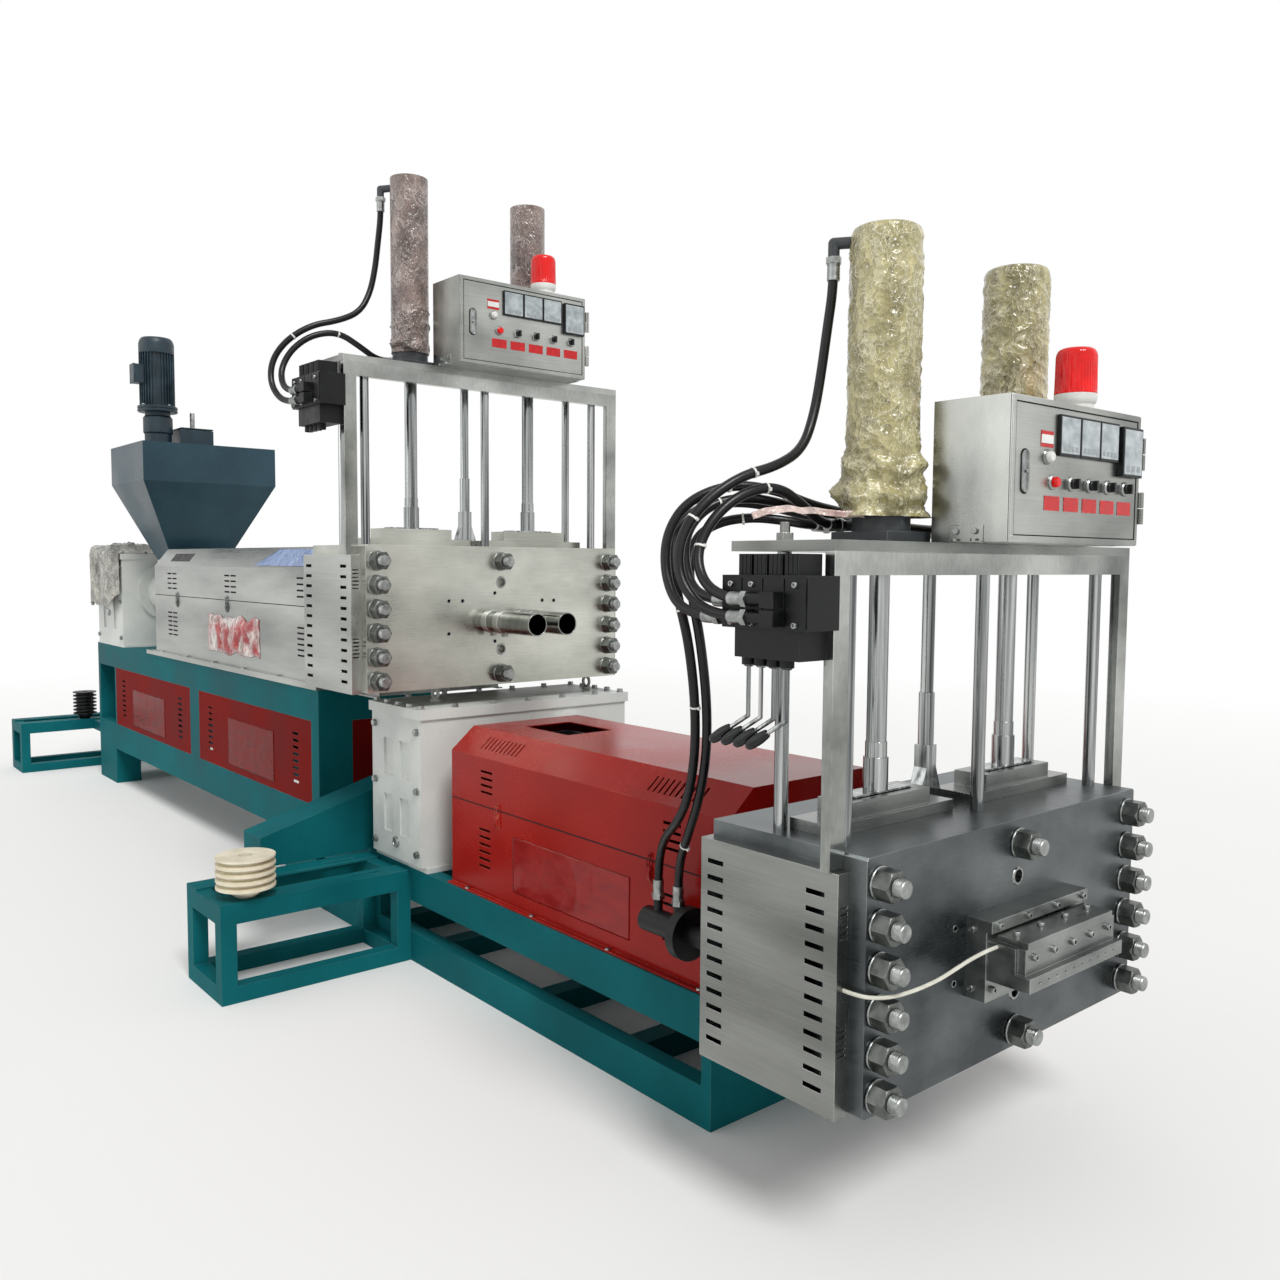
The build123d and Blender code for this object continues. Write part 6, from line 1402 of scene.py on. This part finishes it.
def make_feeder():
    """Stirrer drive: gear head, ribbed motor with fan cowl and terminal box, and the small oil box."""
    x, y, deck = -5.478, -0.190, 2.340
    head, cowl = Shape(), Shape()
    at = Matrix.Translation((x, y, deck))
    head.turned(
        [(0.092, 0), (0.092, 0.012), (0.082, 0.016), (0.082, 0.080), (0.090, 0.090), (0.090, 0.185),
         (0.078, 0.200), (0.078, 0.220), (0.118, 0.222), (0.122, 0.226), (0.122, 0.238), (0.118, 0.242),
         (0.122, 0.246), (0.122, 0.258), (0.116, 0.262),
         (0.094, 0.264), (0.094, 0.640), (0.100, 0.645), (0.100, 0.660)], at, 64,
    )
    cowl.turned(
        [(0.1075, 0.600), (0.108, 0.604), (0.108, 0.660), (0.104, 0.676), (0.098, 0.690), (0.090, 0.699),
         (0.060, 0.700), (0.058, 0.697),
         (0.0, 0.697)], at, 64, ends=(False, True),
    )
    oil_y = 0.030
    box = Shape()
    box.slab((x - 0.100, oil_y - 0.105, deck), (x + 0.100, oil_y + 0.105, deck + 0.118))
    box.slab((x - 0.100, oil_y - 0.105, deck + 0.121), (x + 0.100, oil_y + 0.105, deck + 0.130))
    box.slab((x - 0.045, y - 0.150, deck + 0.40), (x + 0.045, y - 0.090, deck + 0.52))
    box.slab((x - 0.048, y - 0.156, deck + 0.397), (x + 0.048, y - 0.149, deck + 0.523))
    pin = Shape().turned(
        [(0.016, 0), (0.016, 0.100), (0.013, 0.110), (0.0, 0.110)],
        Matrix.Translation((x, oil_y, deck + 0.130)), 28
    )
    made = head.piece("stirrer_motor", finish["motor enamel"], "frame", "motor_paint")
    cowl.piece("stirrer_fan_cowl", finish["motor enamel"], "frame", "motor_paint")
    box.piece("stirrer_boxes", finish["motor enamel"], "frame", "motor_paint", bevel=0.003)
    pin.piece("stirrer_pin", finish["zinc plate"], "frame", "motor_paint")
    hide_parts("hopper_feeder")
    rib = Shape().slab((0.090, -0.0016, 0), (0.1078, 0.0016, 0.336))
    ribs = [((x, y, deck + 0.264), (0, 0, 2 * math.pi * number / 32)) for number in range(32)]
    repeated("stirrer_motor_ribs", rib, ribs, finish["motor enamel"], "frame")
    # the fan cowl's air slots are near black slabs on its top: painted shade
    slot = Shape().slab((0.018, -0.0022, 0.0), (0.052, 0.0022, 0.0012))
    slots = [((x, y, deck + 0.697), (0, 0, 2 * math.pi * number / 24)) for number in range(24)]
    repeated("stirrer_cowl_slots", slot, slots, finish["hollow"], "frame")
    bolt = Shape().nut(0.019, 0.009)
    bolts = [
        ((x + 0.106 * math.cos(a), y + 0.106 * math.sin(a), deck + 0.2605), (0, 0, 0))
        for a in (0.4, 1.97, 3.54, 5.11)
    ]
    repeated("stirrer_flange_bolts", bolt, bolts, finish["zinc plate"], "frame")


def make_outlet_details():
    """Clamp bands with their screws round the outlet pipes, where they leave the plate."""
    bands, lugs = Shape(), Shape()
    for side in (-1, 1):
        for back in (0.030, 0.115):
            at = facing((FIRST.face + back, side * 0.070, 1.360), FORWARD)
            bands.turned(
                [(0.0441, 0), (0.0470, 0.001), (0.0470, 0.033), (0.0441, 0.034)], at, 48,
                ends=(False, False)
            )
            lugs.slab((0.044, -0.005, 0.004), (0.058, 0.005, 0.030), at)
            lugs.nut(
                0.010, 0.010,
                at @ Matrix.Translation(
                    (0.052, 0.005, 0.017)
                ) @ Euler((-math.pi / 2, 0, 0)).to_matrix().to_4x4()
            )
    bands.piece("outlet_heater_bands", finish["stainless sheet"], "frame", "stainless")
    lugs.piece("outlet_band_lugs", finish["zinc plate"], "frame", "stainless", bevel=0.0006)


# Finishes of the CAD nodes

CAD_FINISH = {
    "teal enamel": (
        "first_base_frame", "second_base_frame", "first_motor_table", "second_motor_table",
        "second_belt_guard"
    ),
    "red enamel": ("second_cover_base", "second_cover_lid"),
    "red panel enamel": ("first_base_panels",),
    "off-white enamel": ("first_gearbox", "second_gearbox", "first_barrel"),
    "hopper enamel": ("hopper",),
    "stainless sheet": (
        "first_cover_base", "first_cover_lid", "first_cover_tray", "side_covers", "top_plates"
    ),
    "box stainless": ("control_boxes",),
    "die steel": ("strand_die_adapter", "strand_die_head"),
    "stainless tube": ("portal_frames", "outlet_pipes"),
    "ground stainless": ("first_front_plate", "first_die_block", "gland_slabs"),
    "tool steel": ("second_barrel", "second_front_plate", "second_die_block"),
    "hard chrome": (
        "tie_rods", "first_screen_slide_near", "first_screen_slide_far", "second_screen_slide_near",
        "second_screen_slide_far", "valve_lever_1", "valve_lever_2", "valve_lever_3", "valve_lever_4",
    ),
    "grey paint": ("screen_cylinders",),
    "black casting": ("valve_blocks", "screen_hydraulic_motor", "first_motor_pulley"),
    "ivory primer": ("second_motor_pulley",),
}


def coat_cad_nodes():
    """Gives each node that shows as it is the finish named for it."""
    for kind, names in CAD_FINISH.items():
        for name in names:
            slots = cad[name].data.materials
            slots.clear()
            slots.append(finish[kind])


# Room

def make_room():
    """A pale floor that fades to white far away, a white surround and two soft lamps."""
    scene = bpy.context.scene
    scene.view_settings.view_transform = "Standard"
    reach = 60
    floor = Shape().rings(
        [[(-reach, -reach, 0), (reach, -reach, 0), (reach, reach, 0), (-reach, reach, 0)]],
        ends=(False, True)
    )
    ground = bpy.data.materials.new("pale painted floor")
    ground.use_nodes = True
    tree = ground.node_tree
    shader = tree.nodes["Principled BSDF"]
    shader.inputs["Base Color"].default_value = linear("#f4f4f2")
    shader.inputs["Roughness"].default_value = 0.85
    at = node(tree, "ShaderNodeTexCoord").outputs["Object"]
    away = node(tree, "ShaderNodeVectorMath", {0: at, 1: (-3.0, 0.0, 0.0)}, operation="DISTANCE")
    far = node(
        tree, "ShaderNodeMapRange", {"Value": away.outputs["Value"], "From Min": 6.0, "From Max": 12.0}
    )
    eye = node(tree, "ShaderNodeLightPath").outputs["Is Camera Ray"]
    share = node(tree, "ShaderNodeMath", {0: far.outputs[0], 1: eye}, operation="MULTIPLY")
    white = node(tree, "ShaderNodeEmission", {"Color": (1, 1, 1, 1), "Strength": 1.0})
    both = node(
        tree, "ShaderNodeMixShader", {0: share.outputs[0], 1: shader.outputs[0], 2: white.outputs[0]}
    )
    tree.links.new(both.outputs[0], tree.nodes["Material Output"].inputs["Surface"])
    made = floor.piece("floor", ground, None)
    made.location.z = -0.0005
    world = bpy.data.worlds.new("studio")
    scene.world = world
    world.use_nodes = True
    tree = world.node_tree
    ray = node(tree, "ShaderNodeLightPath").outputs
    seen = ray["Is Camera Ray"]
    for kind in ("Is Glossy Ray", "Is Transmission Ray"):
        seen = node(tree, "ShaderNodeMath", {0: seen, 1: ray[kind]}, operation="MAXIMUM").outputs[0]
    level = node(tree, "ShaderNodeMapRange", {"Value": seen, "To Min": 0.5, "To Max": 1.0})
    back = tree.nodes["Background"]
    back.inputs["Color"].default_value = (1, 1, 1, 1)
    tree.links.new(level.outputs[0], back.inputs["Strength"])
    for name, towards, strength, softness in (
        ("key light", (-0.62, 0.18, -0.75), 2.0, 20),
        ("fill light", (0.30, 0.90, -0.30), 0.35, 40),
    ):
        lamp = bpy.data.lights.new(name, "SUN")
        lamp.energy = strength
        lamp.angle = math.radians(softness)
        light = bpy.data.objects.new(name, lamp)
        light.rotation_euler = Vector(towards).to_track_quat("-Z", "Y").to_euler()
        scene.collection.objects.link(light)


make_camera()
finish = make_finishes()
REPEATING = repeating_tree()
make_hoses()
coat_cad_nodes()
make_clamp_nuts()
make_plate_holes()
make_die_screws()
make_films()
make_control_doors()
make_beacons()
make_box_details()
make_valve_details()
make_latches()
make_cover_details()
make_gearbox_details()
make_gearbox_film()
make_feeder()
make_outlet_details()
make_room()
